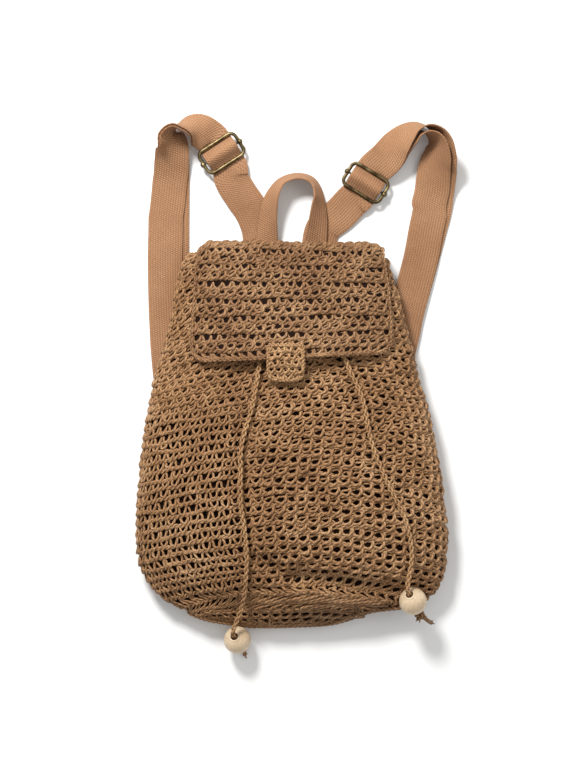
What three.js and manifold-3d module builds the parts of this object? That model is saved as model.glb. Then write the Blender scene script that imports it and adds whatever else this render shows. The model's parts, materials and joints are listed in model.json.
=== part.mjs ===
// Crocheted straw backpack, lying on its back. Millimetres, +Z up.
// +Y runs towards the mouth of the bag and +X to the right of its front, seen from above.
// The origin is on the flat middle of the bag's back, at the height of the surface it lies on.
import * as THREE from 'three';
import { mergeVertices } from 'three/addons/utils/BufferGeometryUtils.js';
import Module from 'manifold-3d';

const wasm = await Module();
wasm.setup();

// Bag
const bodyWidth = 284;
const bodyLength = 340;
const bodyDepth = 62;
const bodyWall = 3;
const bodyBelowOrigin = 177.5;
const rimLean = 0.03;
const frontRoundness = 2.5;
const backRoundness = 3.2;

// Flap and its tab
const flapLength = 93;
const flapWidth = 176;
const flapWall = 3;
const flapFoldReach = 11;
const flapStart = 2;
const flapSideGap = 2.2;
const flapEdgeLean = 0.045;
const flapCornerRadius = 14;
const tabWidth = 31;
const tabLength = 31;
const tabWall = 3;
const tabCornerRadius = 7;
const tabOnFlap = 10;
const tabCentre = -6;
const tabStandOff = 0.6;
const tabDroop = 5;
const tabCamber = 0.8;

// Webbing
const strapWidth = 32;
const webThickness = 1.8;
const handleWidth = 20;
const handleSpan = 47;
const handleRise = 74;
const handleSeam = 30;
const strapSeam = 36;

// Sliders and strap rings
const sliderWire = 2.6;
const sliderOpening = 19;
const sliderSlack = 1.6;
const sliderCorner = 3;
const sliderHeight = 8;
const sliderBall = 5.4;
const ringWire = 2;
const ringOpening = 9;
const ringSlack = 2;
const ringCorner = 1.3;
const ringFromSide = 56;
const ringSpread = bodyWidth / 2 - ringFromSide;
const ringBelow = 118;
const ringTabLength = 24;

// Drawstring, beads and knots
const cordDiameter = 4.8;
const neckBelowRim = 24;
const eyeletLeft = -19;
const eyeletRight = 27;
const eyeletClear = 18;
const beadDiameter = 25;
const beadHole = 6.6;
const knotDiameter = 7;
const tailDiameter = 3;

// Clearances
const gap = 0.3;
const floorGap = 0.1;
const layerGap = 0.4;
const softGap = 0.6;

const straw = { color: 0xa5825a, roughness: 0.85, metalness: 0 };
const webbing = { color: 0xc8966e, roughness: 0.8, metalness: 0 };
const antiqueBrass = { color: 0x84724a, roughness: 0.35, metalness: 1 };
const paleWood = { color: 0xd9c3a0, roughness: 0.5, metalness: 0 };

// Sections of the bag from its bottom edge to its rim. "at" is a share of bodyLength, "left" and
// "right" are shares of half of bodyWidth, "front" is a share of bodyDepth, and "belt" is the height
// of the widest line as a share of the section's own depth.
const BODY_SECTIONS = [
  { at: 0.0, left: -0.272, right: -0.11, front: 0.22, belt: 0.5 },
  { at: 0.007, left: -0.39, right: 0.24, front: 0.29, belt: 0.48 },
  { at: 0.018, left: -0.545, right: 0.352, front: 0.36, belt: 0.46 },
  { at: 0.03, left: -0.635, right: 0.43, front: 0.42, belt: 0.44 },
  { at: 0.044, left: -0.705, right: 0.53, front: 0.48, belt: 0.42 },
  { at: 0.057, left: -0.757, right: 0.765, front: 0.53, belt: 0.4 },
  { at: 0.074, left: -0.828, right: 0.866, front: 0.59, belt: 0.38 },
  { at: 0.1, left: -0.898, right: 0.93, front: 0.67, belt: 0.35 },
  { at: 0.14, left: -0.958, right: 0.974, front: 0.77, belt: 0.32 },
  { at: 0.186, left: -0.994, right: 0.995, front: 0.86, belt: 0.3 },
  { at: 0.25, left: -1.005, right: 1.0, front: 0.94, belt: 0.3 },
  { at: 0.33, left: -1.003, right: 0.978, front: 0.985, belt: 0.3 },
  { at: 0.41, left: -0.983, right: 0.958, front: 1.0, belt: 0.3 },
  { at: 0.49, left: -0.965, right: 0.926, front: 0.985, belt: 0.3 },
  { at: 0.57, left: -0.936, right: 0.885, front: 0.94, belt: 0.31 },
  { at: 0.65, left: -0.898, right: 0.828, front: 0.87, belt: 0.32 },
  { at: 0.73, left: -0.85, right: 0.787, front: 0.8, belt: 0.34 },
  { at: 0.81, left: -0.79, right: 0.736, front: 0.73, belt: 0.36 },
  { at: 0.895, left: -0.754, right: 0.69, front: 0.66, belt: 0.38 },
  { at: 0.96, left: -0.716, right: 0.642, front: 0.6, belt: 0.4 },
  { at: 1.0, left: -0.668, right: 0.622, front: 0.57, belt: 0.42 },
];

// Folds and dents of the front, as valleys along straight lines. Ends are shares of half of
// bodyWidth and of bodyLength, depth and spread are shares of bodyDepth.
const FRONT_FOLDS = [
  { x0: -0.3, y0: 0.205, x1: 0.0, y1: 0.15, depth: 0.1, spread: 0.11 },
  { x0: 0.0, y0: 0.15, x1: 0.8, y1: 0.1, depth: 0.15, spread: 0.14 },
  { x0: -0.33, y0: 0.53, x1: -0.3, y1: 0.16, depth: 0.055, spread: 0.13 },
  { x0: 0.3, y0: 0.33, x1: 0.62, y1: 0.2, depth: 0.035, spread: 0.16 },
  { x0: -0.7, y0: 0.1, x1: -0.35, y1: 0.06, depth: 0.05, spread: 0.12 },
];

// The flap from the rim to its lower edge. "at" is a share of flapLength, "left" and "right" are
// shares of half of flapWidth, "stand" is how far its middle stands off the bag, as a share of
// bodyDepth: the drawstring ends lie under it.
const FLAP_SECTIONS = [
  { at: 0.0, left: -0.93, right: 0.975, stand: 0.035 },
  { at: 0.1, left: -0.94, right: 0.99, stand: 0.09 },
  { at: 0.2, left: -0.95, right: 1.005, stand: 0.125 },
  { at: 0.35, left: -0.96, right: 1.025, stand: 0.13 },
  { at: 0.55, left: -0.972, right: 1.045, stand: 0.13 },
  { at: 0.75, left: -0.985, right: 1.055, stand: 0.135 },
  { at: 1.0, left: -0.995, right: 1.055, stand: 0.155 },
];

// Value of a table's column between its rows: a cubic that never overshoots them.
function column(rows, key, at) {
  const last = rows.length - 1;
  let i = 0;
  while (i < last - 1 && at > rows[i + 1].at) i += 1;
  const slope = (k) => (rows[k + 1][key] - rows[k][key]) / (rows[k + 1].at - rows[k].at);
  const bend = (k) => {
    if (k === 0) return slope(0);
    if (k === last) return slope(last - 1);
    const before = slope(k - 1);
    const after = slope(k);
    return before * after <= 0 ? 0 : (2 * before * after) / (before + after);
  };
  const run = rows[i + 1].at - rows[i].at;
  const t = THREE.MathUtils.clamp((at - rows[i].at) / run, 0, 1);
  return (
    rows[i][key] * (1 + 2 * t) * (1 - t) ** 2 +
    bend(i) * run * t * (1 - t) ** 2 +
    rows[i + 1][key] * t * t * (3 - 2 * t) +
    bend(i + 1) * run * t * t * (t - 1)
  );
}

const ease = (value, low, high) => THREE.MathUtils.smoothstep(value, low, high);
const rad = THREE.MathUtils.degToRad;
const up = new THREE.Vector3(0, 0, 1);
const rimY = bodyLength - bodyBelowOrigin;
const seamStack = 2 * webThickness + gap + 2 * softGap;

// One section of the bag: its middle, half width, front height and height of the widest line.
function bodySection(at) {
  const left = (column(BODY_SECTIONS, 'left', at) * bodyWidth) / 2;
  const right = (column(BODY_SECTIONS, 'right', at) * bodyWidth) / 2;
  const front = column(BODY_SECTIONS, 'front', at) * bodyDepth;
  return {
    middle: (left + right) / 2,
    half: (right - left) / 2,
    front,
    belt: front * column(BODY_SECTIONS, 'belt', at),
    y: at * bodyLength - bodyBelowOrigin,
    lean: -rimLean * ease(at, 0.75, 1),
  };
}

// How deep the folds press the front in at a point.
function foldDepth(x, y) {
  let depth = 0;
  for (const fold of FRONT_FOLDS) {
    const start = new THREE.Vector2((fold.x0 * bodyWidth) / 2, fold.y0 * bodyLength - bodyBelowOrigin);
    const end = new THREE.Vector2((fold.x1 * bodyWidth) / 2, fold.y1 * bodyLength - bodyBelowOrigin);
    const along = end.clone().sub(start);
    const t = new THREE.Vector2(x, y).sub(start).dot(along) / along.lengthSq();
    const nearest = start.clone().addScaledVector(along, THREE.MathUtils.clamp(t, 0, 1));
    const away = nearest.distanceTo(new THREE.Vector2(x, y)) / (fold.spread * bodyDepth);
    depth += fold.depth * bodyDepth * Math.exp(-away * away);
  }
  return depth;
}

// Height of the bag's front above the surface it lies on.
function frontHeight(x, y) {
  let at = (y + bodyBelowOrigin) / bodyLength;
  const lean = bodySection(at).lean;
  at = THREE.MathUtils.clamp(at - (lean * x) / bodyLength, 0, 1);
  const section = bodySection(at);
  const across = Math.min(Math.abs(x - section.middle) / section.half, 1);
  const crown = (1 - across ** frontRoundness) ** (1 / frontRoundness);
  return section.belt + (section.front - section.belt) * crown - foldDepth(x, y) * crown;
}

// The back rises over the straps that run under its sides and over the seams at its top.
function backLift(x, y) {
  const side = ease(Math.abs(x), ringSpread - strapWidth * 1.15, ringSpread - strapWidth * 0.8);
  const tabEnd = ringBelow + ringOpening / 2 + ringWire + ringTabLength;
  const aboveTabs = ease(y, -tabEnd - 20, -tabEnd - 4);
  const strapStack = 2 * webThickness + layerGap + 2 * softGap;
  const ringStack = 2 * webThickness + ringWire + 2 * gap + 2 * softGap;
  const nearRing = 1 - ease(y, -ringBelow + 20, -ringBelow + 50);
  const sideLift = side * aboveTabs * THREE.MathUtils.lerp(strapStack, ringStack, nearRing);
  const seams = ease(y, rimY - strapSeam - 34, rimY - strapSeam - 10);
  return Math.max(sideLift, seams * seamStack);
}

// A ring of points round the bag at one section, moved in by a wall thickness for the inside.
function bodyRing(at, inset, count) {
  const section = bodySection(at);
  const ring = [];
  for (let i = 0; i < count; i += 1) {
    const angle = (2 * Math.PI * i) / count;
    const cos = Math.cos(angle);
    const sin = Math.sin(angle);
    const roundness = sin >= 0 ? frontRoundness : backRoundness;
    const across = Math.sign(cos) * Math.abs(cos) ** (2 / roundness);
    const rise = Math.abs(sin) ** (2 / roundness);
    const x = section.middle + (section.half - inset) * across;
    const y = section.y + section.lean * x;
    let z;
    if (sin >= 0) {
      z = section.belt + (section.front - inset - section.belt) * rise - foldDepth(x, y) * rise;
    } else {
      const flat = 1.25;
      const lift = backLift(x, y);
      z = Math.max(section.belt - (section.belt * flat) * rise, lift) + inset;
      z = Math.min(z, section.belt);
    }
    ring.push(new THREE.Vector3(x, y, z));
  }
  return ring;
}

// Closed geometry from a list of triangles' corners, turned so that its faces point out.
function closedGeometry(triangles) {
  let volume = 0;
  for (const [a, b, c] of triangles) volume += a.dot(b.clone().cross(c));
  const positions = [];
  for (const [a, b, c] of triangles) {
    const order = volume >= 0 ? [a, b, c] : [a, c, b];
    for (const p of order) positions.push(p.x, p.y, p.z);
  }
  const geometry = new THREE.BufferGeometry();
  geometry.setAttribute('position', new THREE.Float32BufferAttribute(positions, 3));
  return mergeVertices(geometry, 1e-5);
}

// A closed skin through rings of equal counts, with a fan over each end.
function loft(rings) {
  const triangles = [];
  const count = rings[0].length;
  for (let j = 0; j < rings.length - 1; j += 1) {
    for (let i = 0; i < count; i += 1) {
      const k = (i + 1) % count;
      triangles.push([rings[j][i], rings[j][k], rings[j + 1][k]]);
      triangles.push([rings[j][i], rings[j + 1][k], rings[j + 1][i]]);
    }
  }
  const middle = (ring) => {
    const sum = new THREE.Vector3();
    for (const p of ring) sum.add(p);
    return sum.divideScalar(ring.length);
  };
  const first = middle(rings[0]);
  const last = middle(rings[rings.length - 1]);
  for (let i = 0; i < count; i += 1) {
    const k = (i + 1) % count;
    triangles.push([rings[0][k], rings[0][i], first]);
    triangles.push([rings[rings.length - 1][i], rings[rings.length - 1][k], last]);
  }
  return closedGeometry(triangles);
}

// A closed panel between two grids of points that face each other.
function panelBetween(top, bottom) {
  const triangles = [];
  const rows = top.length;
  const columns = top[0].length;
  const quad = (a, b, c, d) => {
    triangles.push([a, b, c]);
    triangles.push([a, c, d]);
  };
  for (let j = 0; j < rows - 1; j += 1) {
    for (let i = 0; i < columns - 1; i += 1) {
      quad(top[j][i], top[j][i + 1], top[j + 1][i + 1], top[j + 1][i]);
      quad(bottom[j][i], bottom[j + 1][i], bottom[j + 1][i + 1], bottom[j][i + 1]);
    }
    quad(top[j][0], top[j + 1][0], bottom[j + 1][0], bottom[j][0]);
    quad(top[j + 1][columns - 1], top[j][columns - 1], bottom[j][columns - 1], bottom[j + 1][columns - 1]);
  }
  for (let i = 0; i < columns - 1; i += 1) {
    quad(top[0][i + 1], top[0][i], bottom[0][i], bottom[0][i + 1]);
    quad(top[rows - 1][i], top[rows - 1][i + 1], bottom[rows - 1][i + 1], bottom[rows - 1][i]);
  }
  return closedGeometry(triangles);
}

// A panel of one thickness about the grid of its middle surface.
function panel(middle, thickness) {
  const rows = middle.length;
  const columns = middle[0].length;
  const top = [];
  const bottom = [];
  for (let j = 0; j < rows; j += 1) {
    top.push([]);
    bottom.push([]);
    for (let i = 0; i < columns; i += 1) {
      const across = middle[j][Math.min(i + 1, columns - 1)].clone().sub(middle[j][Math.max(i - 1, 0)]);
      const along = middle[Math.min(j + 1, rows - 1)][i].clone().sub(middle[Math.max(j - 1, 0)][i]);
      const out = across.cross(along).normalize().multiplyScalar(thickness / 2);
      top[j].push(middle[j][i].clone().add(out));
      bottom[j].push(middle[j][i].clone().sub(out));
    }
  }
  return panelBetween(top, bottom);
}

// Flat webbing through frames of a point, a direction across and a direction out of its face.
function ribbon(frames, width, thickness) {
  const top = [];
  const bottom = [];
  for (const { point, across, out } of frames) {
    const left = point.clone().addScaledVector(across, -width / 2);
    const right = point.clone().addScaledVector(across, width / 2);
    top.push([left, right].map((p) => p.clone().addScaledVector(out, thickness / 2)));
    bottom.push([left, right].map((p) => p.clone().addScaledVector(out, -thickness / 2)));
  }
  return panelBetween(top, bottom);
}

// Solid for joining and cutting, and back.
function toSolid(geometry) {
  const bare = geometry.clone();
  for (const name of Object.keys(bare.attributes)) {
    if (name !== 'position') bare.deleteAttribute(name);
  }
  const merged = mergeVertices(bare, 1e-5);
  return new wasm.Manifold(
    new wasm.Mesh({
      numProp: 3,
      vertProperties: Float32Array.from(merged.attributes.position.array),
      triVerts: Uint32Array.from(merged.index.array),
    }),
  );
}

function fromSolid(solid) {
  const mesh = solid.getMesh();
  const geometry = new THREE.BufferGeometry();
  geometry.setAttribute('position', new THREE.BufferAttribute(Float32Array.from(mesh.vertProperties), 3));
  geometry.setIndex(new THREE.BufferAttribute(Uint32Array.from(mesh.triVerts), 1));
  return geometry;
}

// A round cord along a curve, with flat ends.
function cordAlong(curve, diameter, sides, steps) {
  const outline = new THREE.Shape();
  for (let i = 0; i < sides; i += 1) {
    const angle = (2 * Math.PI * i) / sides;
    const x = (diameter / 2) * Math.cos(angle);
    const y = (diameter / 2) * Math.sin(angle);
    if (i === 0) outline.moveTo(x, y);
    else outline.lineTo(x, y);
  }
  outline.closePath();
  const geometry = new THREE.ExtrudeGeometry(outline, { steps, extrudePath: curve, curveSegments: 1 });
  geometry.deleteAttribute('normal');
  geometry.deleteAttribute('uv');
  return mergeVertices(geometry, 1e-4);
}

// A closed loop of round wire: a rectangle with round corners, lying flat about its own middle.
function wireLoop(openingLength, openingWidth, wire, corner, sides) {
  const halfLength = (openingLength + wire) / 2;
  const halfWidth = (openingWidth + wire) / 2;
  const cornerSteps = 3;
  const sections = [];
  for (let quarter = 0; quarter < 4; quarter += 1) {
    const signX = quarter === 0 || quarter === 3 ? 1 : -1;
    const signY = quarter < 2 ? 1 : -1;
    for (let k = 0; k <= cornerSteps; k += 1) {
      const angle = rad(90 * quarter + (90 * k) / cornerSteps);
      const out = new THREE.Vector3(Math.cos(angle), Math.sin(angle), 0);
      const corner0 = new THREE.Vector3(signX * (halfLength - corner), signY * (halfWidth - corner), 0);
      sections.push({ point: corner0.addScaledVector(out, corner), out });
    }
  }
  const triangles = [];
  const at = (j, i) => {
    const { point, out } = sections[j % sections.length];
    const angle = (2 * Math.PI * (i % sides)) / sides;
    const reach = (wire / 2) * Math.cos(angle);
    return point.clone().addScaledVector(out, reach).addScaledVector(up, (wire / 2) * Math.sin(angle));
  };
  for (let j = 0; j < sections.length; j += 1) {
    for (let i = 0; i < sides; i += 1) {
      triangles.push([at(j, i), at(j + 1, i), at(j + 1, i + 1)]);
      triangles.push([at(j, i), at(j + 1, i + 1), at(j, i + 1)]);
    }
  }
  return closedGeometry(triangles);
}

const group = new THREE.Group();
function add(name, geometry, look) {
  geometry.computeVertexNormals();
  const mesh = new THREE.Mesh(geometry, new THREE.MeshStandardMaterial(look));
  mesh.name = name;
  group.add(mesh);
  return mesh;
}

// Drawstring: the held stretch runs round the inside of the neck and comes out through two oblique
// eyelets in the front, under the flap. "inward" and "below" lead away from the eyelet and from the
// neck line, and "height" is above the bag's front, both in cord diameters.
const EYELET_PASSAGE = [
  { inward: 1.25, below: 4.6, height: 0.69 },
  { inward: 0.42, below: 3.1, height: 0.6 },
  { inward: -0.42, below: 1.67, height: -0.31 },
  { inward: -1.46, below: 0.52, height: -1.34 },
];
const neckY = rimY - neckBelowRim;
const neckInset = bodyWall + cordDiameter / 2 + softGap;
function neckRoute() {
  const at = (neckY + bodyBelowOrigin) / bodyLength;
  const count = 40;
  const around = bodyRing(at, neckInset, count);
  const section = bodySection(at);
  const passage = (eyeletX, side) =>
    EYELET_PASSAGE.map((row) => {
      const x = eyeletX - side * row.inward * cordDiameter;
      const y = neckY - row.below * cordDiameter;
      return new THREE.Vector3(x, y, frontHeight(x, y) + row.height * cordDiameter);
    });
  const betweenEyelets = (p, i) =>
    i > 0 && i < count / 2 && p.x < eyeletRight + eyeletClear && p.x > eyeletLeft - eyeletClear;
  const hidden = around.filter((p, i) => !(betweenEyelets(p, i) && p.z > section.belt));
  const start = hidden.findIndex((p) => p.z > section.belt && p.x < eyeletLeft);
  const order = [...hidden.slice(start), ...hidden.slice(0, start)];
  return [...passage(eyeletLeft, -1), ...order, ...passage(eyeletRight, 1).reverse()];
}
const neckCurve = new THREE.CatmullRomCurve3(neckRoute(), false, 'centripetal');
const neckSteps = 42;

// The bag: a sock-like shell, outside from the bottom edge to the rim, then inside back down.
function bagBody() {
  const around = 40;
  const outerShares = [];
  BODY_SECTIONS.forEach((row, i) => {
    outerShares.push(row.at);
    const next = BODY_SECTIONS[i + 1];
    if (next && next.at - row.at > 0.05) outerShares.push((row.at + next.at) / 2);
  });
  const innerShares = BODY_SECTIONS.map((row) => row.at).filter((at, i) => i % 2 === 0 && at > 0.04 && at < 1);
  const outer = outerShares.map((at) => bodyRing(at, 0, around));
  const inner = [1, ...innerShares.reverse()].map((at) => bodyRing(at, bodyWall, around));
  const shell = toSolid(loft([...outer, ...inner]));
  const eyelets = toSolid(cordAlong(neckCurve, cordDiameter + 2 * layerGap, 8, neckSteps));
  return fromSolid(shell.subtract(eyelets));
}

// The flap starts at the back rim, rolls over the mouth and lies over the front.
function flapMiddle() {
  const columns = 16;
  const rows = [];
  const foldSteps = 8;
  const frontSteps = 13;
  const startY = rimY + gap;
  const centreX = ((column(BODY_SECTIONS, 'left', 1) + column(BODY_SECTIONS, 'right', 1)) * bodyWidth) / 4;
  const edge = (key, at) => centreX + (column(FLAP_SECTIONS, key, at) * flapWidth) / 2;
  const lean = (x) => -rimLean * x;
  const gapOver = (x, at) => {
    const middle = column(FLAP_SECTIONS, 'stand', at) * bodyDepth;
    const out = Math.min(Math.abs(x - centreX) / (flapWidth / 2), 1);
    return flapSideGap + Math.max(middle - flapSideGap, 0) * (1 - out ** 4) + flapWall / 2;
  };
  const backZ = seamStack + bodyWall / 2;
  for (let j = 0; j <= foldSteps; j += 1) {
    const turn = rad(-90 + (180 * Math.max(j - 1, 0)) / (foldSteps - 1));
    const start = j === 0 ? 0 : flapStart;
    const row = [];
    for (let i = 0; i <= columns; i += 1) {
      const x = THREE.MathUtils.lerp(edge('left', 0), edge('right', 0), i / columns);
      const top = frontHeight(x, rimY + lean(x)) + gapOver(x, 0);
      const z = (backZ + top) / 2 + ((top - backZ) / 2) * Math.sin(turn);
      const fold = flapFoldReach - flapStart - lean(x) * 0.5;
      row.push(new THREE.Vector3(x, startY + lean(x) + start + fold * Math.cos(turn), z));
    }
    rows.push(row);
  }
  for (let j = 1; j <= frontSteps; j += 1) {
    const at = 1 - (1 - j / frontSteps) ** 1.25;
    const below = at * flapLength;
    const fromEnd = flapLength - below;
    const corner = fromEnd < flapCornerRadius
      ? flapCornerRadius - Math.sqrt(flapCornerRadius ** 2 - (flapCornerRadius - fromEnd) ** 2)
      : 0;
    const row = [];
    for (let i = 0; i <= columns; i += 1) {
      const left = edge('left', at) + corner;
      const right = edge('right', at) - corner;
      const x = THREE.MathUtils.lerp(left, right, i / columns);
      const y = startY + lean(x) * (1 - at) + flapEdgeLean * (x - centreX) * at - below;
      row.push(new THREE.Vector3(x, y, frontHeight(x, Math.min(y, rimY + lean(x))) + gapOver(x, at)));
    }
    rows.push(row);
  }
  return rows;
}

// The tab lies on the flap's lower edge and hangs a little way down the front.
function tabMiddle(flapRows) {
  const columns = 6;
  const steps = 12;
  const edgeY = rimY + gap - flapLength;
  const rows = [];
  const overFlap = flapRows[flapRows.length - 1][7].z + (flapWall + tabWall) / 2 + gap + tabStandOff;
  for (let j = 0; j <= steps; j += 1) {
    const down = (tabLength * j) / steps;
    const fromEnd = tabLength - down;
    const corner = fromEnd < tabCornerRadius
      ? tabCornerRadius - Math.sqrt(tabCornerRadius ** 2 - (tabCornerRadius - fromEnd) ** 2)
      : 0;
    const y = edgeY + tabOnFlap - down;
    const droop = tabDroop * ease(down, tabOnFlap + 2, tabLength + 6);
    const row = [];
    for (let i = 0; i <= columns; i += 1) {
      const across = (2 * i) / columns - 1;
      const x = tabCentre + across * (tabWidth / 2 - corner);
      row.push(new THREE.Vector3(x, y, overFlap - droop - tabCamber * across * across));
    }
    rows.push(row);
  }
  return rows;
}

// Shoulder straps. The webbing starts at a seam under the top of the back, goes through the slider,
// turns over at the arch, runs down under the side of the bag to its ring and comes back doubled.
// Plan points are shares of the bag's own measures: "x" of half of bodyWidth, "y" of bodyLength above
// the rim. "z" is a share of strapWidth above the lying layer. "tilt" is how far the webbing has
// turned over, "slip" how far the second layer has slipped sideways as a share of strapWidth, and
// "apart" the space from layer to layer as a multiple of its least value.
const STRAPS = {
  left: {
    side: -1,
    root: [
      { x: -0.206, y: -0.106, z: 0 },
      { x: -0.206, y: -0.03, z: 0 },
      { x: -0.206, y: 0.04, z: 0 },
      { x: -0.218, y: 0.079, z: 0 },
      { x: -0.262, y: 0.125, z: 0.015 },
      { x: -0.334, y: 0.17, z: 0.06 },
      { x: -0.397, y: 0.215, z: 0.12 },
    ],
    slider: { x: -0.457, y: 0.28, heading: 123 },
    arch: [
      { x: -0.575, y: 0.336, z: 0.28, tilt: 6, slip: 0, apart: 1.1 },
      { x: -0.642, y: 0.35, z: 0.43, tilt: 42, slip: 0, apart: 1.4 },
      { x: -0.704, y: 0.352, z: 0.51, tilt: 70, slip: 0, apart: 1.6 },
      { x: -0.769, y: 0.348, z: 0.54, tilt: 92, slip: 0, apart: 1.6 },
      { x: -0.795, y: 0.328, z: 0.5, tilt: 122, slip: 0, apart: 1.5 },
      { x: -0.782, y: 0.303, z: 0.4, tilt: 150, slip: 0, apart: 1.4 },
      { x: -0.778, y: 0.268, z: 0.24, tilt: 168, slip: -0.02, apart: 1.2 },
      { x: -0.78, y: 0.209, z: 0.05, tilt: 177, slip: -0.06, apart: 1 },
    ],
    leg: [
      { x: -0.782, y: 0.109, slip: -0.17 },
      { x: -0.784, y: 0.019, slip: -0.18 },
      { x: -0.804, y: -0.198, slip: -0.04 },
      { x: -0.787, y: -0.334, slip: 0 },
      { x: -0.7, y: -0.6, slip: 0 },
    ],
  },
  right: {
    side: 1,
    root: [
      { x: 0.176, y: -0.106, z: 0 },
      { x: 0.176, y: -0.03, z: 0 },
      { x: 0.178, y: 0.035, z: 0 },
      { x: 0.205, y: 0.079, z: 0 },
      { x: 0.31, y: 0.117, z: 0.03 },
      { x: 0.405, y: 0.158, z: 0.1 },
    ],
    slider: { x: 0.478, y: 0.2, heading: 58 },
    arch: [
      { x: 0.61, y: 0.266, z: 0.29, tilt: 8, slip: 0, apart: 1.1 },
      { x: 0.675, y: 0.304, z: 0.4, tilt: 32, slip: 0, apart: 1.5 },
      { x: 0.738, y: 0.331, z: 0.47, tilt: 50, slip: 0, apart: 2 },
      { x: 0.804, y: 0.348, z: 0.52, tilt: 68, slip: 0, apart: 2.6 },
      { x: 0.877, y: 0.349, z: 0.54, tilt: 86, slip: 0, apart: 2.8 },
      { x: 0.935, y: 0.335, z: 0.54, tilt: 100, slip: 0, apart: 2.8 },
      { x: 0.972, y: 0.308, z: 0.52, tilt: 116, slip: -0.04, apart: 2.6 },
      { x: 0.975, y: 0.272, z: 0.43, tilt: 138, slip: -0.1, apart: 2 },
      { x: 0.963, y: 0.24, z: 0.27, tilt: 157, slip: -0.18, apart: 1.4 },
      { x: 0.943, y: 0.181, z: 0.07, tilt: 175, slip: -0.2, apart: 1 },
    ],
    leg: [
      { x: 0.923, y: 0.122, slip: -0.2 },
      { x: 0.897, y: 0.079, slip: -0.1 },
      { x: 0.842, y: -0.008, slip: -0.03 },
      { x: 0.735, y: -0.171, slip: 0 },
      { x: 0.66, y: -0.32, slip: 0 },
      { x: 0.61, y: -0.55, slip: 0 },
    ],
  },
};

const heading = (degrees) => new THREE.Vector3(Math.cos(rad(degrees)), Math.sin(rad(degrees)), 0);
const planPoint = (x, y, z) => new THREE.Vector3((x * bodyWidth) / 2, rimY + y * bodyLength, z);
const layerPitch = webThickness + layerGap;
const ringPitch = ringWire + webThickness + 2 * gap;
const floorLayer = webThickness / 2 + floorGap;
const barReach = (sliderOpening + sliderWire) / 2;
const sliderLead = 4.5;
const underWire = sliderHeight - sliderWire / 2 - layerGap - webThickness / 2;
const barWrap = sliderWire / 2 + gap + webThickness / 2;
const ringReach = (ringOpening + ringWire) / 2;
const ringHeight = floorLayer + webThickness / 2 + gap + ringWire / 2;

// Frames along a line of points, with "out" turned towards each point's own hint.
function framesAlong(stations) {
  return stations.map((station, i) => {
    const before = stations[Math.max(i - 1, 0)].point;
    const after = stations[Math.min(i + 1, stations.length - 1)].point;
    const along = after.clone().sub(before).normalize();
    const out = station.hint.clone().addScaledVector(along, -station.hint.dot(along)).normalize();
    return { ...station, out, across: along.clone().cross(out), along };
  });
}

function sliderPlace(strap) {
  const centre = planPoint(strap.slider.x, strap.slider.y, sliderHeight);
  return { centre, along: heading(strap.slider.heading) };
}

// Turns a frame's webbing over: from lying flat on its back to lying on its face.
function turnedOver(along, tilt, side) {
  const right = along.clone().cross(up).normalize();
  const above = right.clone().cross(along);
  const across = right.multiplyScalar(Math.cos(rad(tilt))).addScaledVector(above, side * Math.sin(rad(tilt)));
  return { across, out: across.clone().cross(along) };
}

// The single layer, from the seam to where it leaves the slider.
function strapRoot(strap, centre, along) {
  const wirePoint = (reach) => centre.clone().addScaledVector(along, reach).setZ(underWire);
  const points = strap.root.map((row) => planPoint(row.x, row.y, floorLayer + row.z * strapWidth));
  points.push(wirePoint(-barReach - sliderLead), wirePoint(-barReach));
  const curve = new THREE.CatmullRomCurve3(points, false, 'centripetal');
  const rootSteps = 18;
  const stations = curve.getSpacedPoints(rootSteps).map((point) => ({ point, hint: up }));
  const over = barWrap + webThickness + gap + layerGap;
  const crossingSteps = 10;
  for (let k = 1; k < crossingSteps; k += 1) {
    const reach = barReach * ((2 * k) / crossingSteps - 1);
    const rise = (over + barWrap) * 0.5 * (1 + Math.cos((Math.PI * reach) / barReach));
    stations.push({ point: wirePoint(reach).addScaledVector(up, rise), hint: up });
  }
  stations.push({ point: wirePoint(barReach), hint: up });
  return framesAlong(stations);
}

// The doubled stretch, from the slider over the arch and down to the ring.
function strapDouble(strap, centre, along) {
  const wirePoint = (reach) => centre.clone().addScaledVector(along, reach).setZ(underWire);
  const wireY = -ringBelow + ringReach;
  const ringX = strap.side * ringSpread;
  const rows = [
    { point: wirePoint(barReach), tilt: 0, slip: 0, apart: 1 },
    { point: wirePoint(barReach + sliderLead).addScaledVector(up, gap), tilt: 0, slip: 0, apart: 1 },
  ];
  for (const row of strap.arch) {
    rows.push({ ...row, point: planPoint(row.x, row.y, floorLayer + row.z * strapWidth) });
  }
  for (const row of strap.leg) {
    rows.push({ ...row, point: planPoint(row.x, row.y, floorLayer), tilt: 180, apart: 1 });
  }
  for (const above of [strapWidth, 0]) {
    rows.push({ point: new THREE.Vector3(ringX, wireY + above, floorLayer), tilt: 180, slip: 0, apart: 1 });
  }
  const route = new THREE.CatmullRomCurve3(rows.map((row) => row.point), false, 'centripetal');
  const turns = new THREE.CatmullRomCurve3(rows.map((row) => new THREE.Vector3(row.tilt, row.slip, row.apart)));
  const frames = [];
  const stepsARow = 2.2;
  const steps = Math.round(stepsARow * (rows.length - 1));
  for (let k = 0; k <= steps; k += 1) {
    const point = route.getPoint(k / steps);
    const turn = turns.getPoint(k / steps);
    const tangent = route.getTangent(k / steps);
    const nearRing = 1 - ease(point.y, wireY + ringWire, wireY + strapWidth);
    const pitch = layerPitch * turn.z + (ringPitch - layerPitch) * nearRing;
    const facing = turnedOver(tangent, THREE.MathUtils.clamp(turn.x, 0, 180), strap.side);
    frames.push({ point, along: tangent, ...facing, slip: turn.y * strapWidth, pitch });
  }
  return frames;
}

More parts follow.
